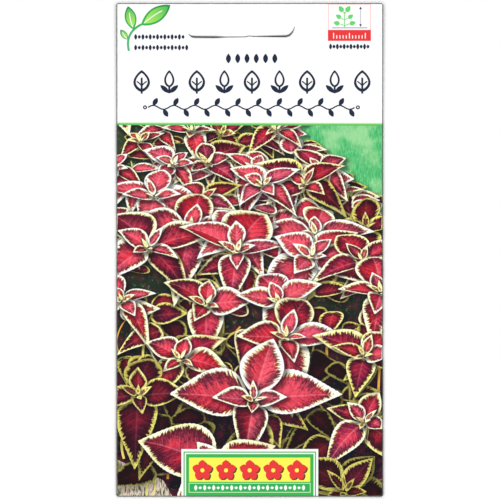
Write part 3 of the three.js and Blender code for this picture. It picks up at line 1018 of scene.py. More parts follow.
# ---- From shapes to a triangulated, folded print ----


class FlatPlan:
    """Points and lines on the flat blank that are triangulated together."""

    def __init__(self):
        self.points = []
        self.lines = []

    def add_points(self, points):
        self.points.extend(map(tuple, points))

    def add_path(self, path, closed=True, wanted=None):
        """Adds a path's lines, or only those with a wanted point at one end."""
        count = len(path)
        wanted = np.ones(count, dtype=bool) if wanted is None else wanted
        index = {}
        for i in range(count if closed else count - 1):
            j = (i + 1) % count
            if wanted[i] or wanted[j]:
                for k in (i, j):
                    if k not in index:
                        index[k] = len(self.points)
                        self.points.append(tuple(path[k]))
                self.lines.append((index[i], index[j]))

    def triangles(self):
        vectors = [Vector(point) for point in self.points]
        found = delaunay_2d_cdt(vectors, self.lines, [], 0, SAME_POINT, False)
        places = np.array([tuple(point) for point in found[0]])
        return places, np.array(found[2])


class Print:
    """The printed blank: its triangles, and for each triangle the shape that shows there."""

    SLIT_LIP = 0.35  # width of the shaded paper on each side of the slit
    LIP_SHADE = 0.34  # on the front, where the lips stand apart
    DEEP_SHADE = 1.0  # on the layers behind it
    KINDS = {"leaf": 1.0, "undergrowth": 0.25, "lawn": 0.5, "straw": 0.75}  # all the rest is flat ink
    HEAD_SPACING, BACK_SPACING = 2.0, 4.0  # of the points outside the picture
    EDGE_ROOM = 0.7  # between a point on a flap and the flap's cut edge

    def __init__(self, sheet, shapes, picture, spacing):
        self.sheet = sheet
        self.shapes = shapes
        self.picture = picture
        self.points, self.faces = self.triangulate(spacing)
        self.owner = self.top_shapes()

    def triangulate(self, spacing):
        plan = FlatPlan()
        plan.add_path(self.sheet.outline())
        for slit in self.sheet.slits() + self.sheet.slits(self.SLIT_LIP):
            plan.add_path(slit)
        for line in self.sheet.creases():
            plan.add_path(line, closed=False)
        plan.add_path(self.picture)
        self.add_shapes(plan)
        plan.add_points(self.grid(spacing))
        points, faces = plan.triangles()
        middles = points[faces].mean(axis=1)
        keep = inside(middles, self.sheet.outline())
        for slit in self.sheet.slits():
            keep &= ~inside(middles, slit)
        faces = faces[keep]
        used, renumbered = np.unique(faces, return_inverse=True)
        return points[used], renumbered.reshape(-1, 3)

    def add_shapes(self, plan):
        """Adds each shape's edge where nothing printed later hides it."""
        for i, shape in enumerate(self.shapes):
            outline = shape.outline
            wanted = np.ones(len(outline), dtype=bool)
            if shape.in_picture:
                wanted &= inside(outline, self.picture)
            low, high = box_of(outline)
            for later in self.shapes[i + 1 :]:
                later_low, later_high = box_of(later.outline)
                if (later_high >= low).all() and (later_low <= high).all():
                    wanted &= ~inside(outline, later.outline)
            plan.add_path(outline, wanted=wanted)

    def grid(self, spacing):
        """Points in staggered rows over the picture, and wider apart over the rest."""
        sheet = self.sheet
        low, high = box_of(self.picture)
        fine = self.rows((-sheet.fold_x, sheet.fold_bottom), (sheet.fold_x, high[1]), spacing)
        near, far = self.HEAD_SPACING, self.BACK_SPACING
        head = self.rows((-sheet.fold_x, high[1]), (sheet.fold_x, sheet.fold_top), near)
        back = self.rows((-sheet.back_x, sheet.back_tip), (sheet.back_x, low[1]), far)
        flap = self.rows((-sheet.back_x, sheet.top_root), (sheet.back_x, sheet.top_tip), near)
        right = self.rows((sheet.side_root, -sheet.side_high), (sheet.side_tip, sheet.side_high), far)
        flaps = np.vstack([flap, right, right * (-1, 1)])
        room = distance_to(flaps, sheet.outline())
        clear = inside(flaps, sheet.outline()) & (room > self.EDGE_ROOM)
        return np.vstack([fine, head, back, flaps[clear]])

    @staticmethod
    def rows(low, high, spacing):
        """Points in nearly equal-sided triangles between two corners, a little inside them."""
        margin, row_step = 0.35 * spacing, spacing * 0.87
        places = []
        for j, v in enumerate(np.arange(low[1] + margin, high[1] - margin, row_step)):
            start = low[0] + margin + (0.5 * spacing if j % 2 else 0.0)
            for u in np.arange(start, high[0] - margin, spacing):
                places.append((u, v))
        return np.array(places)

    def top_shapes(self):
        """For each triangle, the number of the last shape printed there."""
        middles = self.points[self.faces].mean(axis=1)
        in_picture = inside(middles, self.picture)
        owner = np.full(len(self.faces), -1)
        for i, shape in enumerate(self.shapes):
            covered = inside(middles, shape.outline)
            if shape.in_picture:
                covered &= in_picture
            owner[covered] = i
        return owner

    def corner_places(self):
        return self.points[self.faces].reshape(-1, 2)

    def corners(self):
        """For each face corner: flat ink, leaf form, light, and place on the leaf."""
        places = self.corner_places()
        owner = np.repeat(self.owner, 3)
        inks = np.ones((len(places), 4))
        form = np.zeros((len(places), 4))
        light = np.zeros((len(places), 4))
        across_along = places.copy()
        for i, shape in enumerate(self.shapes):
            mine = np.flatnonzero(owner == i)
            if not len(mine):
                continue
            inks[mine] = shape.ink_at(places[mine])
            light[mine, 0] = self.KINDS.get(shape.kind, 0.0)
            leaf = shape.leaf
            if leaf is not None:
                flat = leaf.local(places[mine])
                across_along[mine] = flat
                form[mine, 0] = leaf.size
                form[mine, 1] = leaf.tone
                form[mine, 2] = leaf.light(flat, 1.0)
                form[mine, 3] = leaf.light(flat, -1.0)
                light[mine, 1] = leaf.level
                light[mine, 2] = distance_to(flat, leaf.flat)
        # The fourth light value holds the picture's printed leaf shadows and the painted shade round
        # the hanging slit.
        light[:, 3] = np.maximum(self.shade(places, owner), self.slit_shade(places))
        return inks, form, light, across_along

    def slit_shade(self, places):
        """The shaded lips of the hanging slit, darkest on the layers that show through it."""
        shade = np.zeros(len(places))
        sheet = self.sheet
        layers = zip(sheet.slits(), sheet.slits(self.SLIT_LIP), (True, False, False))
        for slit, lips, front in layers:
            low, high = box_of(lips)
            index = np.flatnonzero(within(places, low - 0.1, high + 0.1))
            away = distance_to(places[index], slit)
            spread = sheet.slit_spread(places[index, 0])
            depth = self.LIP_SHADE * (0.4 + 0.6 * spread) if front else self.DEEP_SHADE
            # Painted shade, fading from the slit's edge over the width of its lip.
            shade[index] = (1 - smoothstep(away, 0.0, self.SLIT_LIP)) * depth
        return shade

    def shade(self, places, owner):
        """How deep each corner lies in the shadow of the leaves printed over it."""
        shade = np.zeros(len(places))
        in_picture = np.array([shape.in_picture for shape in self.shapes] + [False])
        takes = in_picture[owner]
        for i, shape in enumerate(self.shapes):
            if shape.leaf is None:
                continue
            fallen = shape.outline + Foliage.SHADOW_FALL
            reach = 0.55 + 0.055 * shape.leaf.size
            low, high = box_of(fallen)
            near = takes & (owner < i) & within(places, low - reach, high + reach)
            index = np.flatnonzero(near)
            if not len(index):
                continue
            away = distance_to(places[index], fallen)
            away[inside(places[index], fallen)] = 0.0
            drop = 0.5 + 0.5 * np.clip(shape.leaf.level, 0.0, 1.0)
            cast = (1 - smoothstep(away, 0.0, reach)) * drop
            shade[index] = np.maximum(shade[index], cast)
        return shade


# ---- Shader helpers ----


class Wiring:
    """Short hands for adding and joining nodes in one node tree."""

    def __init__(self, tree):
        self.tree = tree
        self.count = 0

    def node(self, kind, **values):
        made = self.tree.nodes.new(kind)
        made.location = (200 * (self.count % 8), -220 * (self.count // 8))
        self.count += 1
        for name, value in values.items():
            setattr(made, name, value)
        return made

    def join(self, value, socket):
        """Wires a socket in, or sets a plain value."""
        if isinstance(value, bpy.types.NodeSocket):
            self.tree.links.new(value, socket)
        else:
            socket.default_value = value

    def math(self, operation, *values):
        made = self.node("ShaderNodeMath", operation=operation)
        for value, socket in zip(values, made.inputs):
            self.join(value, socket)
        return made.outputs[0]

    def plus(self, first, second):
        return self.math("ADD", first, second)

    def minus(self, first, second):
        return self.math("SUBTRACT", first, second)

    def times(self, first, second):
        return self.math("MULTIPLY", first, second)

    def times_plus(self, first, second, added):
        return self.math("MULTIPLY_ADD", first, second, added)

    def limited(self, value, low, high):
        return self.math("MINIMUM", self.math("MAXIMUM", value, low), high)

    def between(self, value, low, high, start=0.0, end=1.0):
        """A smooth step from start to end as the value goes from low to high."""
        made = self.node("ShaderNodeMapRange", interpolation_type="SMOOTHSTEP", clamp=True)
        for given, socket in zip((value, low, high, start, end), made.inputs):
            self.join(given, socket)
        return made.outputs[0]

    def mix(self, share, first, second, blend="MIX", clamped=False):
        made = self.node("ShaderNodeMix", data_type="RGBA", blend_type=blend, clamp_factor=True)
        made.clamp_result = clamped
        self.join(share, made.inputs["Factor"])
        self.join(first, made.inputs[6])
        self.join(second, made.inputs[7])
        return made.outputs[2]

    def noise(self, vector, scale, detail=2.0, roughness=0.5, distortion=0.0):
        made = self.node("ShaderNodeTexNoise")
        self.join(vector, made.inputs["Vector"])
        for name, value in (
            ("Scale", scale), ("Detail", detail), ("Roughness", roughness), ("Distortion", distortion),
        ):
            self.join(value, made.inputs[name])
        return made.outputs["Fac"]

    def combine(self, x, y, z=0.0):
        made = self.node("ShaderNodeCombineXYZ")
        for value, socket in zip((x, y, z), made.inputs):
            self.join(value, socket)
        return made.outputs[0]

    def split(self, vector):
        made = self.node("ShaderNodeSeparateXYZ")
        self.join(vector, made.inputs[0])
        return made.outputs

    def attribute(self, name):
        return self.node("ShaderNodeAttribute", attribute_name=name)

    def group(self, tree, **values):
        made = self.node("ShaderNodeGroup", node_tree=tree)
        for name, value in values.items():
            self.join(value, made.inputs[name.replace("_", " ").capitalize()])
        return made.outputs


def new_group(name, inputs, outputs):
    """A shader node group with named sockets, and its wiring."""
    tree = bpy.data.node_groups.new(name, "ShaderNodeTree")
    for label, kind, default in inputs:
        socket = tree.interface.new_socket(label, in_out="INPUT", socket_type=kind)
        if default is not None:
            socket.default_value = default
    for label, kind in outputs:
        tree.interface.new_socket(label, in_out="OUTPUT", socket_type=kind)
    wiring = Wiring(tree)
    return tree, wiring, wiring.node("NodeGroupInput").outputs, wiring.node("NodeGroupOutput").inputs


FLOAT, COLOUR, VECTOR = "NodeSocketFloat", "NodeSocketColor", "NodeSocketVector"

# Colours that only one finish uses. The first is a screen colour, the rest are linear.
SHADED_GRASS = (0.24, 0.7, 0.42)
# The next two colours paint shade along the packet's outer folds: a tint over the print, then the grey
# it turns to.
EDGE_SHADE_TINT = (0.2, 0.2, 0.2, 1.0)
EDGE_SHADE_GREY = (0.11, 0.11, 0.115, 1.0)
# Painted shade for the paper seen in the depth of the slit.
PAINTED_SLIT_SHADE = (0.012, 0.015, 0.018, 1.0)
FLOOR_WHITE = (0.96, 0.96, 0.96, 1.0)


def paper_grain_group():
    """Fine tooth and gentle cockling of paper, as a height and an uneven gloss."""
    tree, w, given, out = new_group(
        "Paper grain",
        [("Place", VECTOR, None), ("Tooth", FLOAT, 0.5), ("Cockle", FLOAT, 0.5)],
        [("Height", FLOAT), ("Gloss", FLOAT)],
    )
    fine = w.noise(given["Place"], 9.0, detail=3.0, roughness=0.7)
    fibre = w.noise(given["Place"], 2.2, detail=4.0, roughness=0.65, distortion=0.6)
    cockle = w.noise(given["Place"], 0.045, detail=1.0)
    tooth = w.times(w.plus(fine, fibre), given["Tooth"])
    w.join(w.times_plus(cockle, given["Cockle"], tooth), out["Height"])
    w.join(w.plus(w.times(fibre, 0.6), w.times(fine, 0.4)), out["Gloss"])
    return tree


def edge_shade_group():
    """Painted shade along the outer folds, a grey line at the packet's edge: 1 on a packet's very edge
    and 0 inside it.
    """
    tree, w, given, out = new_group(
        "Painted edge shade",
        [
            ("Place", VECTOR, None), ("Half width", FLOAT, 40.0), ("Half height", FLOAT, 74.0),
            ("Reach", FLOAT, 0.3), ("Foot", FLOAT, 0.4),
        ],
        [("Edge shade", FLOAT)],
    )
    x, y, z = w.split(given["Place"])
    to_side = w.minus(given["Half width"], w.math("ABSOLUTE", x))
    to_end = w.minus(given["Half height"], w.math("ABSOLUTE", y))
    to_edge = w.math("MINIMUM", to_side, to_end)
    # Noise varies how far the painted shade reaches in from the edge.
    band_noise = w.noise(given["Place"], 0.7, detail=3.0, roughness=0.6)
    reach = w.times(given["Reach"], w.times_plus(band_noise, 0.5, 0.75))
    edge_shade = w.between(to_edge, w.times(reach, 0.55), reach, 1.0, 0.0)
    upper = w.between(z, given["Foot"], w.plus(given["Foot"], 0.12))
    w.join(w.times(edge_shade, upper), out["Edge shade"])
    return tree


def leaf_group(picture):
    """A variegated leaf: streaked body, veins, feathered pale margin, light and shade."""
    tree, w, given, out = new_group(
        "Variegated leaf",
        [
            ("Place", VECTOR, None), ("Size", FLOAT, 20.0), ("Tone", FLOAT, 0.5),
            ("Left light", FLOAT, 1.0), ("Right light", FLOAT, 1.0), ("Level", FLOAT, 0.5),
            ("Edge", FLOAT, 1.0),
        ],
        [("Colour", COLOUR)],
    )
    across, along, _ = w.split(given["Place"])
    level = given["Level"]
    on_left = w.between(across, -0.06, 0.06)
    lit = w.times(given["Left light"], on_left)
    lit = w.times_plus(given["Right light"], w.minus(1.0, on_left), lit)
    # Each leaf takes its mottling from a place of its own in the noise.
    own = w.times(given["Tone"], 60.0)
    place = w.combine(across, along, own)
    broad = w.minus(w.noise(place, 0.2, detail=2.0), 0.5)
    blotch = w.noise(place, 0.8, detail=4.0, roughness=0.62)
    young = w.between(given["Size"], 2.5, 7.5, 1.0, 0.0)

    # Side veins run outwards and forwards from the midrib, and the streaks run with them.
    from_rib = w.math("ABSOLUTE", across)
    bow = w.times(w.math("POWER", from_rib, 2.0), 0.035)
    lean = w.plus(w.times_plus(from_rib, -0.9, along), bow)
    streak_place = w.combine(w.times(lean, 2.1), w.times(from_rib, 0.8), own)
    streak = w.noise(streak_place, 1.0, detail=4.0, roughness=0.7)
    speckle = w.noise(place, 2.1, detail=3.0, roughness=0.75)
    net = w.plus(w.times(streak, 0.55), w.times(speckle, 0.45))
    vein, quilt = leaf_veins(w, given, from_rib, along, lean, blotch)

    body = leaf_body(w, given, picture, broad, net, vein, lit, young)
    margin, margin_colour = leaf_margin(w, given, picture, broad, net, lean, young)
    colour = w.mix(margin, body, margin_colour)

    # The body darkens faster than the margin as a leaf lies lower in the planting.
    dim_body = w.times_plus(w.times(level, level), 0.94, 0.12)
    dim_body = w.math("MINIMUM", dim_body, 0.9)
    dim_margin = w.times_plus(level, 1.12, 0.3)
    dim = w.times_plus(margin, w.minus(dim_margin, dim_body), dim_body)
    relief = w.times(quilt, w.times_plus(margin, -0.08, 0.1))
    bright = w.times(w.times(dim, lit), w.plus(1.0, relief))
    grey = w.combine(bright, bright, bright)
    w.join(w.mix(1.0, colour, grey, "MULTIPLY", clamped=True), out["Colour"])
    return tree


def leaf_veins(w, given, from_rib, along, lean, blotch):
    """The midrib and the side veins, and how the leaf swells between two of them."""
    size, edge = given["Size"], given["Edge"]
    closest, widest = 1.1, 3.2  # millimetres from vein to vein
    gap = w.limited(w.times(size, 0.12), closest, widest)
    wander = w.times(w.minus(blotch, 0.5), 1.6)
    phase = w.plus(w.math("DIVIDE", w.plus(lean, wander), gap), given["Tone"])
    phase = w.math("FRACT", phase)
    to_vein = w.minus(0.5, w.math("ABSOLUTE", w.minus(phase, 0.5)))
    vein = w.between(w.times(to_vein, gap), 0.02, 0.28, 1.0, 0.0)
    vein = w.times(vein, w.between(edge, 0.6, w.times(size, 0.2)))
    rib_width = w.times_plus(w.minus(size, along), 0.012, 0.05)
    rib = w.between(from_rib, rib_width, w.plus(rib_width, 0.2), 1.0, 0.0)
    quilt = w.math("SINE", w.times(phase, 2 * math.pi))
    return w.math("MAXIMUM", w.times(vein, 0.75), rib), quilt


def leaf_body(w, given, picture, broad, net, vein, lit, young):
    """The body: from maroon in the shade to crimson in the middle of a leaf in full light."""
    size, level, tone = given["Size"], given["Level"], given["Tone"]
    middle = w.between(given["Edge"], 0.4, w.times(size, 0.26))
    warmth = w.times_plus(level, 0.5, w.times(middle, 0.36))
    warmth = w.times_plus(broad, 1.3, warmth)
    warmth = w.times_plus(w.minus(tone, 0.5), 0.4, warmth)
    body = w.mix(w.between(warmth, 0.05, 0.5), linear(picture.maroon), linear(picture.burgundy))
    body = w.mix(w.between(warmth, 0.4, 0.9), body, linear(picture.crimson))
    plum = w.between(w.math("FRACT", w.times(tone, 7.0)), 0.55, 0.95)
    body = w.mix(w.times(plum, 0.4), body, linear(picture.plum))
    bloom = w.times(w.between(w.times(lit, level), 0.82, 1.35), 0.34)
    body = w.mix(bloom, body, linear(picture.rose))
    body = w.mix(w.times(young, 0.5), body, linear(picture.amber))
    lit_vein = w.times(vein, w.times_plus(level, 0.4, 0.06))
    body = w.mix(lit_vein, body, linear(picture.rose))
    dark = w.times_plus(middle, -0.11, w.times_plus(warmth, -0.08, net))
    dark = w.between(dark, 0.325, 0.465)
    dark = w.times(dark, w.times_plus(vein, -0.45, 0.86))
    return w.mix(dark, body, linear(picture.maroon))


def leaf_margin(w, given, picture, broad, net, lean, young):
    """Where the pale margin is, feathered along the veins on its inner side, and its colour."""
    edge, tone = given["Edge"], given["Tone"]
    narrowest, widest = 0.34, 1.35  # millimetres of margin, before it varies from leaf to leaf
    wide = w.limited(w.times(given["Size"], 0.05), narrowest, widest)
    own_share = w.math("FRACT", w.times(tone, 13.0))
    wide = w.times(wide, w.times_plus(own_share, 0.6, 0.7))
    finger_place = w.combine(w.times(edge, 0.5), w.times(lean, 2.3), w.times(tone, 30.0))
    finger = w.minus(w.noise(finger_place, 1.0, detail=3.0, roughness=0.7), 0.5)
    reach = w.times(wide, w.times_plus(finger, 4.2, 0.95))
    reach = w.plus(reach, w.times(w.times(broad, wide), 1.6))
    reach = w.math("MAXIMUM", reach, 0.16)
    margin = w.between(edge, w.minus(reach, 0.12), w.plus(reach, 0.2), 1.0, 0.0)

    pale = w.between(w.times_plus(broad, 0.9, given["Level"]), 0.5, 0.95)
    inner, outer = w.times(wide, 0.4), w.times(wide, 1.6)
    pale = w.times(pale, w.between(edge, inner, outer, 1.0, 0.25))
    pale = w.times(pale, w.times_plus(young, -0.6, 1.0))
    fleck = w.between(net, 0.5, 0.6)
    colour = w.mix(fleck, linear(picture.lime), linear(picture.straw_green))
    return margin, w.mix(pale, colour, linear(picture.cream))


def ground_group(picture):
    """What shows between the leaves: dark undergrowth, open grass or dry straw."""
    tree, w, given, out = new_group(
        "Picture ground", [("Place", VECTOR, None), ("Kind", FLOAT, 0.25)], [("Colour", COLOUR)]
    )
    x, y, _ = w.split(given["Place"])
    blades = w.noise(w.combine(w.times(x, 2.4), w.times(y, 0.5)), 1.0, 3.0, 0.6, 0.5)
    cloud = w.noise(given["Place"], 0.35, detail=4.0, roughness=0.6)
    under = w.mix(w.between(cloud, 0.42, 0.6), linear(picture.shadow), linear(picture.maroon))
    scrap = w.noise(given["Place"], 0.9, detail=3.0, roughness=0.6, distortion=0.8)
    under = w.mix(w.between(scrap, 0.57, 0.67), under, linear(picture.moss))
    under = w.mix(w.between(y, -45.0, 30.0, 0.0, 0.6), under, linear(picture.moss))
    glimpse = w.times(w.between(scrap, 0.62, 0.68), w.between(y, -30.0, 10.0, 0.0, 0.8))
    under = w.mix(glimpse, under, linear(picture.lawn))
    drift = w.noise(given["Place"], 0.16, detail=4.0, roughness=0.55)
    grass = w.mix(w.between(blades, 0.36, 0.66), linear(SHADED_GRASS), linear(picture.lawn))
    sunny = w.times(w.between(drift, 0.4, 0.68), 0.66)
    grass = w.mix(sunny, grass, linear(picture.pale_lawn))
    dry = w.mix(w.between(blades, 0.45, 0.62), linear(picture.straw), linear(picture.moss))
    colour = w.mix(w.between(given["Kind"], 0.35, 0.4), under, grass)
    w.join(w.mix(w.between(given["Kind"], 0.6, 0.65), colour, dry), out["Colour"])
    return tree


class Finishes:
    """The materials of the packet, its sachet and its seeds."""

    CRIMP = 1.1  # millimetres across the seal from ridge to ridge

    def __init__(self):
        self.grain = bpy.data.node_groups.get("Paper grain") or paper_grain_group()

    def start(self, name, roughness=0.5, metallic=0.0):
        material = bpy.data.materials.new(name)
        material.use_nodes = True
        shader = material.node_tree.nodes["Principled BSDF"]
        shader.inputs["Roughness"].default_value = roughness
        shader.inputs["Metallic"].default_value = metallic
        return material, Wiring(material.node_tree), shader.inputs

    def millimetres(self, w):
        """Object coordinates in millimetres."""
        place = w.node("ShaderNodeTexCoord").outputs["Object"]
        made = w.node("ShaderNodeVectorMath", operation="SCALE")
        w.join(place, made.inputs[0])
        made.inputs["Scale"].default_value = 1 / MM
        return made.outputs[0]

    def four_values(self, w, name):
        """The four numbers that the mesh carries under one name."""
        parts = w.node("ShaderNodeSeparateColor")
        attribute = w.attribute(name).outputs
        w.join(attribute["Color"], parts.inputs[0])
        return (*parts.outputs, attribute["Alpha"])

    def bump(self, w, height, distance, shader):
        made = w.node("ShaderNodeBump")
        made.inputs["Distance"].default_value = distance * MM
        w.join(height, made.inputs["Height"])
        w.join(made.outputs[0], shader["Normal"])

    def printed_paper(self, picture):
        """Coated paper with the foliage picture and the flat inks on it, and painted shade round the
        slit and along the outer folds.
        """
        material, w, shader = self.start("printed_coated_paper")
        shader["Specular IOR Level"].default_value = 0.25
        place = self.millimetres(w)
        inks = w.attribute("ink").outputs["Color"]
        size, tone, left_light, right_light = self.four_values(w, "leaf_form")
        kind, level, edge, shade = self.four_values(w, "leaf_light")
        on_leaf = w.node("ShaderNodeUVMap", uv_map="leaf_place").outputs[0]
        leaf = w.group(
            leaf_group(picture), place=on_leaf, size=size, tone=tone, left_light=left_light,
            right_light=right_light, level=level, edge=edge,
        )["Colour"]
        ground = w.group(ground_group(picture), place=place, kind=kind)["Colour"]
        colour = w.mix(w.between(kind, 0.1, 0.15), inks, ground)
        colour = w.mix(w.between(kind, 0.85, 0.9), colour, leaf)
        # The shade value darkens the colour: the picture's printed leaf shadows, and painted shade on
        # the slit's lips.
        deep = w.times(shade, 0.86)
        colour = w.mix(deep, colour, w.mix(0.5, colour, linear(picture.shadow), "MULTIPLY"))
        colour = w.mix(w.times(shade, 0.62), colour, linear(picture.shadow))
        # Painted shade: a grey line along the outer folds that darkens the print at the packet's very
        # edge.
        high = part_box("envelope")[1] / MM
        outer = {"half_width": high.x, "half_height": high.y, "reach": 0.42, "foot": 0.35}
        edge_shade = w.group(edge_shade_group(), place=place, **outer)["Edge shade"]
        shaded_edge = w.mix(1.0, colour, EDGE_SHADE_TINT, "MULTIPLY")
        shaded_edge = w.mix(0.85, shaded_edge, EDGE_SHADE_GREY)
        w.join(w.mix(edge_shade, colour, shaded_edge), shader["Base Color"])
        grain = w.group(self.grain, place=place, tooth=0.35, cockle=14.0)
        w.join(w.between(grain["Gloss"], 0.2, 0.8, 0.3, 0.4), shader["Roughness"])
        self.bump(w, grain["Height"], 0.006, shader)
        return material

    def plain_paper(self, name, colour, tooth):
        """Uncoated paper, for the inside and the cut edges, with painted shade in the depth of the
        slit.
        """
        material, w, shader = self.start(name)
        place = self.millimetres(w)
        grain = w.group(self.grain, place=place, tooth=tooth, cockle=10.0)
        shaded = [c * 0.9 for c in linear(colour)[:3]] + [1.0]
        plain = w.mix(grain["Gloss"], linear(colour), shaded)
        # Painted shade round the slit, read from the light values' fourth number; the picture's leaf
        # shadows are kept out.
        light = w.attribute("leaf_light").outputs
        kind = w.split(light["Vector"])[0]
        depth = w.times(light["Alpha"], w.between(kind, 0.1, 0.15, 0.95, 0.0))
        w.join(w.mix(depth, plain, PAINTED_SLIT_SHADE), shader["Base Color"])
        w.join(w.between(grain["Gloss"], 0.2, 0.8, 0.7, 0.85), shader["Roughness"])
        self.bump(w, grain["Height"], 0.01, shader)
        return material

    def foil(self, settings):
        """Aluminium foil with fine rolling lines, small dents, and a crimped seal round its edge."""
        material, w, shader = self.start("sachet_foil", roughness=0.32, metallic=1.0)
        place = self.millimetres(w)
        x, y, _ = w.split(place)
        low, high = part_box("sachet_back_web")
        middle, half = (low + high) / (2 * MM), (high - low) / (2 * MM)
        to_side = w.minus(half.x, w.math("ABSOLUTE", w.minus(x, middle.x)))
        to_end = w.minus(half.y, w.math("ABSOLUTE", w.minus(y, middle.y)))
        to_edge = w.math("MINIMUM", to_side, to_end)
        seal = w.between(to_edge, settings.seal / MM - 0.6, settings.seal / MM - 0.2, 1.0, 0.0)
        ridge = w.math("SINE", w.times(w.plus(x, y), 2 * math.pi / self.CRIMP))
        crimp = w.times(w.times(ridge, seal), 0.5)
        rolled = w.noise(w.combine(w.times(x, 0.12), w.times(y, 6.0)), 1.0, 3.0)
        dents = w.noise(place, 0.4, detail=4.0, roughness=0.6)
        tone = w.plus(w.times(rolled, 0.5), w.times(dents, 0.5))
        foil = linear(settings.foil)
        darker = [c * 0.78 for c in foil[:3]] + [1.0]
        w.join(w.mix(tone, foil, darker), shader["Base Color"])
        w.join(w.between(tone, 0.3, 0.7, 0.24, 0.42), shader["Roughness"])
        height = w.plus(crimp, w.plus(w.times(rolled, 0.08), dents))
        self.bump(w, height, 0.08, shader)
        return material

    def seed_coat(self, settings):
        """A dark, finely pitted seed coat with a waxy shine."""
        material, w, shader = self.start("seed_coat", roughness=0.38)
        place = self.millimetres(w)
        pits = w.noise(place, 9.0, detail=3.0, roughness=0.6)
        cloud = w.noise(place, 1.1, detail=2.0)
        seed = linear(settings.seed)
        paler = [min(c * 2.4 + 0.02, 1.0) for c in seed[:3]] + [1.0]
        w.join(w.mix(w.between(w.plus(pits, cloud), 0.85, 1.25), seed, paler), shader["Base Color"])
        w.join(w.between(pits, 0.3, 0.7, 0.32, 0.5), shader["Roughness"])
        self.bump(w, pits, 0.02, shader)
        return material


# ---- Pieces ----


def settings_of(context):
    return context.scene.seed_packet


def finish_piece(piece, material_slot, *nodes):
    """Hands a finished piece to the frame: its body and the solids that it stands for."""
    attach(piece, "root")
    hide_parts(*nodes)


class SEEDPACKET_OT_envelope(bpy.types.Operator):
    """Print, cut and fold the envelope"""

    bl_idname = "seed_packet.envelope"
    bl_label = "Envelope"
    bl_options = {"REGISTER", "UNDO"}

    INSIDE, RIM = 1, 2  # material slots after the printed side's
    MAP_SIDE = 190.0  # millimetres of paper along the bake map's side
    MAP_GAP = 2.0  # between two parts of the map
    INNER_SCALE = 0.06  # the inner side is one colour, so it gets little room
    RIM_CELL, RIM_FACE = 0.7, 0.5  # spacing and side of the squares for the cut rim
    RIM_START, RIM_COLUMNS = 15, 220

    def execute(self, context):
        settings = settings_of(context)
        sheet = FoldedSheet(settings.sheet)
        foliage = Foliage(settings.picture, sheet)
        picture = foliage.frame()
        ornaments = Ornaments(settings.inks, sheet, picture)
        shapes = foliage.shapes() + ornaments.shapes()
        printed = Print(sheet, shapes, picture, settings.picture.mesh / MM)
        piece = self.folded_mesh(printed, sheet)
        finishes = Finishes()
        white = settings.inks.paper_white
        piece.data.materials.append(finishes.printed_paper(settings.picture))
        piece.data.materials.append(finishes.plain_paper("paper_inside", white, 0.9))
        piece.data.materials.append(finishes.plain_paper("paper_cut_edge", white, 1.4))
        apply_modifier(
            piece, "SOLIDIFY", thickness=settings.sheet.paper, offset=0.0,
            material_offset=self.INSIDE, material_offset_rim=self.RIM,
        )
        self.lay_out_bake_map(piece, sheet)
        finish_piece(piece, "coated_paper", "envelope")
        return {"FINISHED"}

    def folded_mesh(self, printed, sheet):
        mesh = bpy.data.meshes.new("printed_envelope")
        places = sheet.folded(*printed.points.T) * MM
        mesh.from_pydata(places.tolist(), [], printed.faces.tolist())
        inks, form, light, on_leaf = printed.corners()
        for name, rows in (("ink", inks), ("leaf_form", form), ("leaf_light", light)):
            layer = mesh.color_attributes.new(name, "FLOAT_COLOR", "CORNER")
            layer.data.foreach_set("color", rows.ravel())
        for name, rows in (("leaf_place", on_leaf), ("OFBake", printed.corner_places())):
            layer = mesh.uv_layers.new(name=name)
            layer.data.foreach_set("uv", rows.ravel())
        mesh.shade_smooth()
        piece = bpy.data.objects.new("printed_envelope", mesh)
        bpy.context.scene.collection.objects.link(piece)
        return piece

    def lay_out_bake_map(self, piece, sheet):
        """Lays the print, the small inner side and the thin rim side by side on the square map."""
        mesh = piece.data
        layer = mesh.uv_layers["OFBake"]
        flat = np.empty(len(mesh.loops) * 2)
        layer.data.foreach_get("uv", flat)
        flat = flat.reshape(-1, 2)
        starts, totals, slots = (
            per_face(mesh, name) for name in ("loop_start", "loop_total", "material_index")
        )
        slot = np.repeat(slots, totals)
        middle = np.repeat(np.add.reduceat(flat[:, 1], starts) / totals, totals)
        side, gap = self.MAP_SIDE, self.MAP_GAP
        on_back = middle < sheet.back_root
        laid = flat + (sheet.side_tip + gap, sheet.half_height + gap)
        beside = flat + (2 * sheet.side_tip + sheet.half_width + 2 * gap, -sheet.back_tip + gap)
        laid[on_back] = beside[on_back]
        inner = (flat + (sheet.side_tip, -sheet.back_tip)) * self.INNER_SCALE
        inner += (gap, side - 20 - gap)
        laid[slot == self.INSIDE] = inner[slot == self.INSIDE]
        self.lay_out_rim(laid, starts[slots == self.RIM])
        layer.data.foreach_set("uv", (laid / side).ravel())

    def lay_out_rim(self, laid, starts):
        """Gives each face of the cut rim a cell of its own in a strip at the map's top."""
        for i, start in enumerate(starts):
            x = self.RIM_START + (i % self.RIM_COLUMNS) * self.RIM_CELL
            y = self.MAP_SIDE - self.MAP_GAP - self.RIM_CELL * (1 + i // self.RIM_COLUMNS)
            laid[start : start + 4] = bar(x, y, x + self.RIM_FACE, y + self.RIM_FACE)


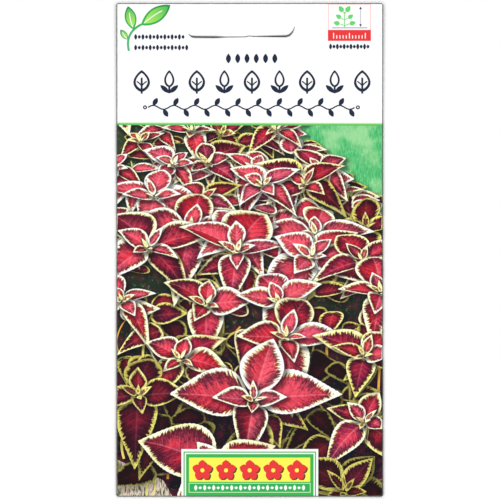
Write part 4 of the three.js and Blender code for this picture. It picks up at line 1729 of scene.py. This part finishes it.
class SEEDPACKET_OT_sachet(bpy.types.Operator):
    """Seal a flat and a raised foil web to each other round their edges"""

    bl_idname = "seed_packet.sachet"
    bl_label = "Sachet"
    bl_options = {"REGISTER", "UNDO"}

    COLUMNS, ROWS = 76, 90
    WELD = 0.01  # millimetres within which two corners of the cut notch are one
    CREASES, CREASE_DRAW = 7, 5  # how many creases cross the foil, and where their draws start
    SHORTEST_WAVE, LONGEST_WAVE = 4, 11  # millimetres

    def execute(self, context):
        settings = settings_of(context).sachet
        foil = Finishes().foil(settings)
        for name, raised in (("sachet_back_web", False), ("sachet_front_web", True)):
            web = self.web(settings, name, raised)
            web.data.materials.append(foil)
            finish_piece(web, "sachet_foil", name)
        return {"FINISHED"}

    def web(self, settings, node, raised):
        low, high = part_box(node)
        middle = (low + high) / 2
        flat_low, flat_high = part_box("sachet_back_web")
        thickness = flat_high.z - flat_low.z
        deselect_all()
        bpy.ops.mesh.primitive_grid_add(x_subdivisions=self.COLUMNS, y_subdivisions=self.ROWS, size=1)
        web = bpy.context.object
        web.name = web.data.name = f"foil_{node}"
        web.scale = (high.x - low.x, high.y - low.y, 1)
        web.location = (middle.x, middle.y, low.z + thickness / 2)
        apply_transform()
        self.cut_notch(settings, web, high)
        if raised:
            rows = coordinates(web.data)
            rows[:, 2] += self.rise(settings, rows, low, high, thickness)
            place_vertices(web.data, rows)
        web.data.shade_smooth()
        apply_modifier(web, "SOLIDIFY", thickness=thickness, offset=0.0)
        return web

    def cut_notch(self, settings, web, high):
        """Removes the faces in the tear notch and draws the edge left there into a V."""
        notch = high.y - settings.notch_drop
        size = settings.notch_size
        rows = coordinates(web.data)
        depth = high.x - rows[:, 0]
        half = np.clip((size - depth) / 2, 0, None)
        off = rows[:, 1] - notch
        near = (np.abs(off) < half) & (depth < size)
        rows[near, 1] = notch + np.where(off[near] >= 0, half[near], -half[near])
        place_vertices(web.data, rows)
        make_active(web)
        bpy.ops.object.mode_set(mode="EDIT")
        bpy.ops.mesh.select_mode(type="FACE")
        bpy.ops.mesh.select_all(action="DESELECT")
        bpy.ops.object.mode_set(mode="OBJECT")
        for face in web.data.polygons:
            middle = face.center
            room = (size - (high.x - middle.x)) / 2
            face.select = room > 0 and abs(middle.y - notch) < room * 0.98
        bpy.ops.object.mode_set(mode="EDIT")
        bpy.ops.mesh.delete(type="FACE")
        bpy.ops.mesh.select_all(action="SELECT")
        bpy.ops.mesh.remove_doubles(threshold=self.WELD * MM)
        bpy.ops.object.mode_set(mode="OBJECT")

    def rise(self, settings, rows, low, high, thickness):
        """The raised web's height: level over the seeds, sloping to the seal, and a little creased."""
        x, y = rows[:, 0], rows[:, 1]
        half_x, half_y = (high.x - low.x) / 2, (high.y - low.y) / 2
        middle = (low + high) / 2
        full = high.z - low.z - thickness
        share = np.ones(len(rows))
        for away, half in ((np.abs(x - middle.x), half_x), (np.abs(y - middle.y), half_y)):
            foot = half - settings.seal
            share *= 1 - smoothstep(away, foot - settings.slope, foot)
        draw = random.Random(self.CREASE_DRAW)
        crease = np.zeros(len(rows))
        for _ in range(self.CREASES):
            angle = draw.uniform(0, math.pi)
            wave = 1 / draw.uniform(self.SHORTEST_WAVE * MM, self.LONGEST_WAVE * MM)
            phase = draw.uniform(0, 2 * math.pi)
            along = x * math.cos(angle) + y * math.sin(angle)
            crease += 1 - np.abs(np.sin(along * wave + phase))
        return share * (full - settings.wrinkle * crease / self.CREASES * 2)


class SEEDPACKET_OT_seeds(bpy.types.Operator):
    """Drop the seeds in the sachet"""

    bl_idname = "seed_packet.seeds"
    bl_label = "Seeds"
    bl_options = {"REGISTER", "UNDO"}

    TURN_DRAW = 11  # where the draws of the seeds' turns start
    NARROW, WIDE, HIGH, SCAR = 0.22, 0.94, 0.86, 0.46  # the egg's form, for a length of 1

    def execute(self, context):
        nodes = sorted(name for name in frame["nodes"] if name.startswith("seed_"))
        if not nodes:
            raise RuntimeError("the frame has no seeds")
        master = self.master()
        draw = random.Random(self.TURN_DRAW)
        seeds = [self.placed_copy(master, node, draw) for node in nodes]
        bpy.data.objects.remove(master)
        make_active(seeds[0])
        for seed in seeds:
            seed.select_set(True)
        bpy.ops.object.join()
        piece = bpy.context.object
        piece.name = piece.data.name = "loose_seeds"
        apply_transform()
        piece.data.materials.append(Finishes().seed_coat(settings_of(context).sachet))
        finish_piece(piece, "seed_coat", *nodes)
        return {"FINISHED"}

    def master(self):
        """One seed as an egg, one unit long, with a flat scar at its narrow end."""
        deselect_all()
        bpy.ops.mesh.primitive_ico_sphere_add(subdivisions=3, radius=0.5)
        seed = bpy.context.object
        rows = coordinates(seed.data)
        narrow = 1 - self.NARROW * np.clip(rows[:, 0] * 2, 0, 1) ** 2
        rows[:, 1] *= self.WIDE * narrow
        rows[:, 2] *= self.HIGH * narrow
        rows[:, 0] = np.minimum(rows[:, 0], self.SCAR)
        place_vertices(seed.data, rows)
        seed.data.shade_smooth()
        return seed

    @staticmethod
    def placed_copy(master, node, draw):
        """A turned copy inside the place of one seed of the frame."""
        low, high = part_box(node)
        seed = master.copy()
        seed.data = master.data.copy()
        bpy.context.scene.collection.objects.link(seed)
        seed.scale = [high.z - low.z] * 3
        seed.rotation_euler = [draw.uniform(0, 2 * math.pi) for _ in range(3)]
        seed.location = (low + high) / 2
        return seed


class SEEDPACKET_OT_stage(bpy.types.Operator):
    """Lay the floor, and set up the light and the camera"""

    bl_idname = "seed_packet.stage"
    bl_label = "Stage"
    bl_options = {"REGISTER", "UNDO"}

    FLOOR_DROP = 0.02  # millimetres from the packet's back down to the floor
    BOXES = 4  # soft boxes round the packet; the next three sizes are in metres
    BOX_AWAY, BOX_UP, BOX_SIZE = 1.1, 1.0, 0.8
    SENSOR = 36  # millimetres
    FARTHEST = 10  # metres that the camera sees

    def execute(self, context):
        stage = settings_of(context).stage
        self.floor(stage)
        self.light(context, stage)
        self.camera(context, stage)
        return {"FINISHED"}

    def floor(self, stage):
        deselect_all()
        bpy.ops.mesh.primitive_plane_add(size=stage.floor_size, location=(0, 0, -self.FLOOR_DROP * MM))
        floor = bpy.context.object
        floor.name = "floor"
        apply_transform()
        material = bpy.data.materials.new("pale_floor")
        material.use_nodes = True
        shader = material.node_tree.nodes["Principled BSDF"]
        shader.inputs["Base Color"].default_value = FLOOR_WHITE
        shader.inputs["Roughness"].default_value = 0.9
        floor.data.materials.append(material)

    def light(self, context, stage):
        world = bpy.data.worlds.new("even_light")
        world.use_nodes = True
        background = world.node_tree.nodes["Background"]
        background.inputs["Color"].default_value = (1, 1, 1, 1)
        background.inputs["Strength"].default_value = stage.sky
        context.scene.world = world
        for i in range(self.BOXES):
            angle = math.pi / 4 + i * math.pi / 2
            data = bpy.data.lights.new(f"soft_box_{i + 1}", "AREA")
            data.energy = stage.key
            data.size = self.BOX_SIZE
            box = bpy.data.objects.new(f"soft_box_{i + 1}", data)
            across, up = self.BOX_AWAY * math.cos(angle), self.BOX_AWAY * math.sin(angle)
            box.location = (across, up, self.BOX_UP)
            box.rotation_euler = (-box.location).to_track_quat("-Z", "Y").to_euler()
            context.scene.collection.objects.link(box)

    def camera(self, context, stage):
        data = bpy.data.cameras.new("camera")
        data.sensor_width = data.sensor_height = self.SENSOR
        data.sensor_fit = "HORIZONTAL"
        data.lens = self.SENSOR * stage.distance / stage.frame_height
        data.clip_end = self.FARTHEST
        camera = bpy.data.objects.new("camera", data)
        camera.location = (stage.centre_x, stage.centre_y, stage.distance + MM)
        context.scene.collection.objects.link(camera)
        context.scene.camera = camera
        context.scene.view_settings.view_transform = "Standard"


class SeedPacketSettings(bpy.types.PropertyGroup):
    """Everything that a user can change about the packet."""

    sheet: PointerProperty(type=SheetSettings)
    picture: PointerProperty(type=PictureSettings)
    inks: PointerProperty(type=InkSettings)
    sachet: PointerProperty(type=SachetSettings)
    stage: PointerProperty(type=StageSettings)


class SEEDPACKET_PT_panel(bpy.types.Panel):
    """The packet's settings and the buttons that build it"""

    bl_idname = "SEEDPACKET_PT_panel"
    bl_label = "Seed Packet"
    bl_space_type = "VIEW_3D"
    bl_region_type = "UI"
    bl_category = "Seed Packet"

    def draw(self, context):
        settings = settings_of(context)
        for part, operators in PARTS.items():
            box = self.layout.box()
            group = getattr(settings, part)
            for name in group.bl_rna.properties.keys():
                if name not in {"rna_type", "name"}:
                    box.prop(group, name)
            for operator in operators:
                box.operator(operator)


PARTS = {
    "sheet": ["seed_packet.envelope"],
    "picture": [],
    "inks": [],
    "sachet": ["seed_packet.sachet", "seed_packet.seeds"],
    "stage": ["seed_packet.stage"],
}

CLASSES = (
    SheetSettings,
    PictureSettings,
    InkSettings,
    SachetSettings,
    StageSettings,
    SeedPacketSettings,
    SEEDPACKET_OT_envelope,
    SEEDPACKET_OT_sachet,
    SEEDPACKET_OT_seeds,
    SEEDPACKET_OT_stage,
    SEEDPACKET_PT_panel,
)


def register():
    for cls in CLASSES:
        bpy.utils.register_class(cls)
    bpy.types.Scene.seed_packet = PointerProperty(type=SeedPacketSettings)


def unregister():
    del bpy.types.Scene.seed_packet
    for cls in reversed(CLASSES):
        bpy.utils.unregister_class(cls)


def main():
    register()
    bpy.ops.seed_packet.envelope()
    bpy.ops.seed_packet.sachet()
    bpy.ops.seed_packet.seeds()
    bpy.ops.seed_packet.stage()


if __name__ == "__main__":
    main()
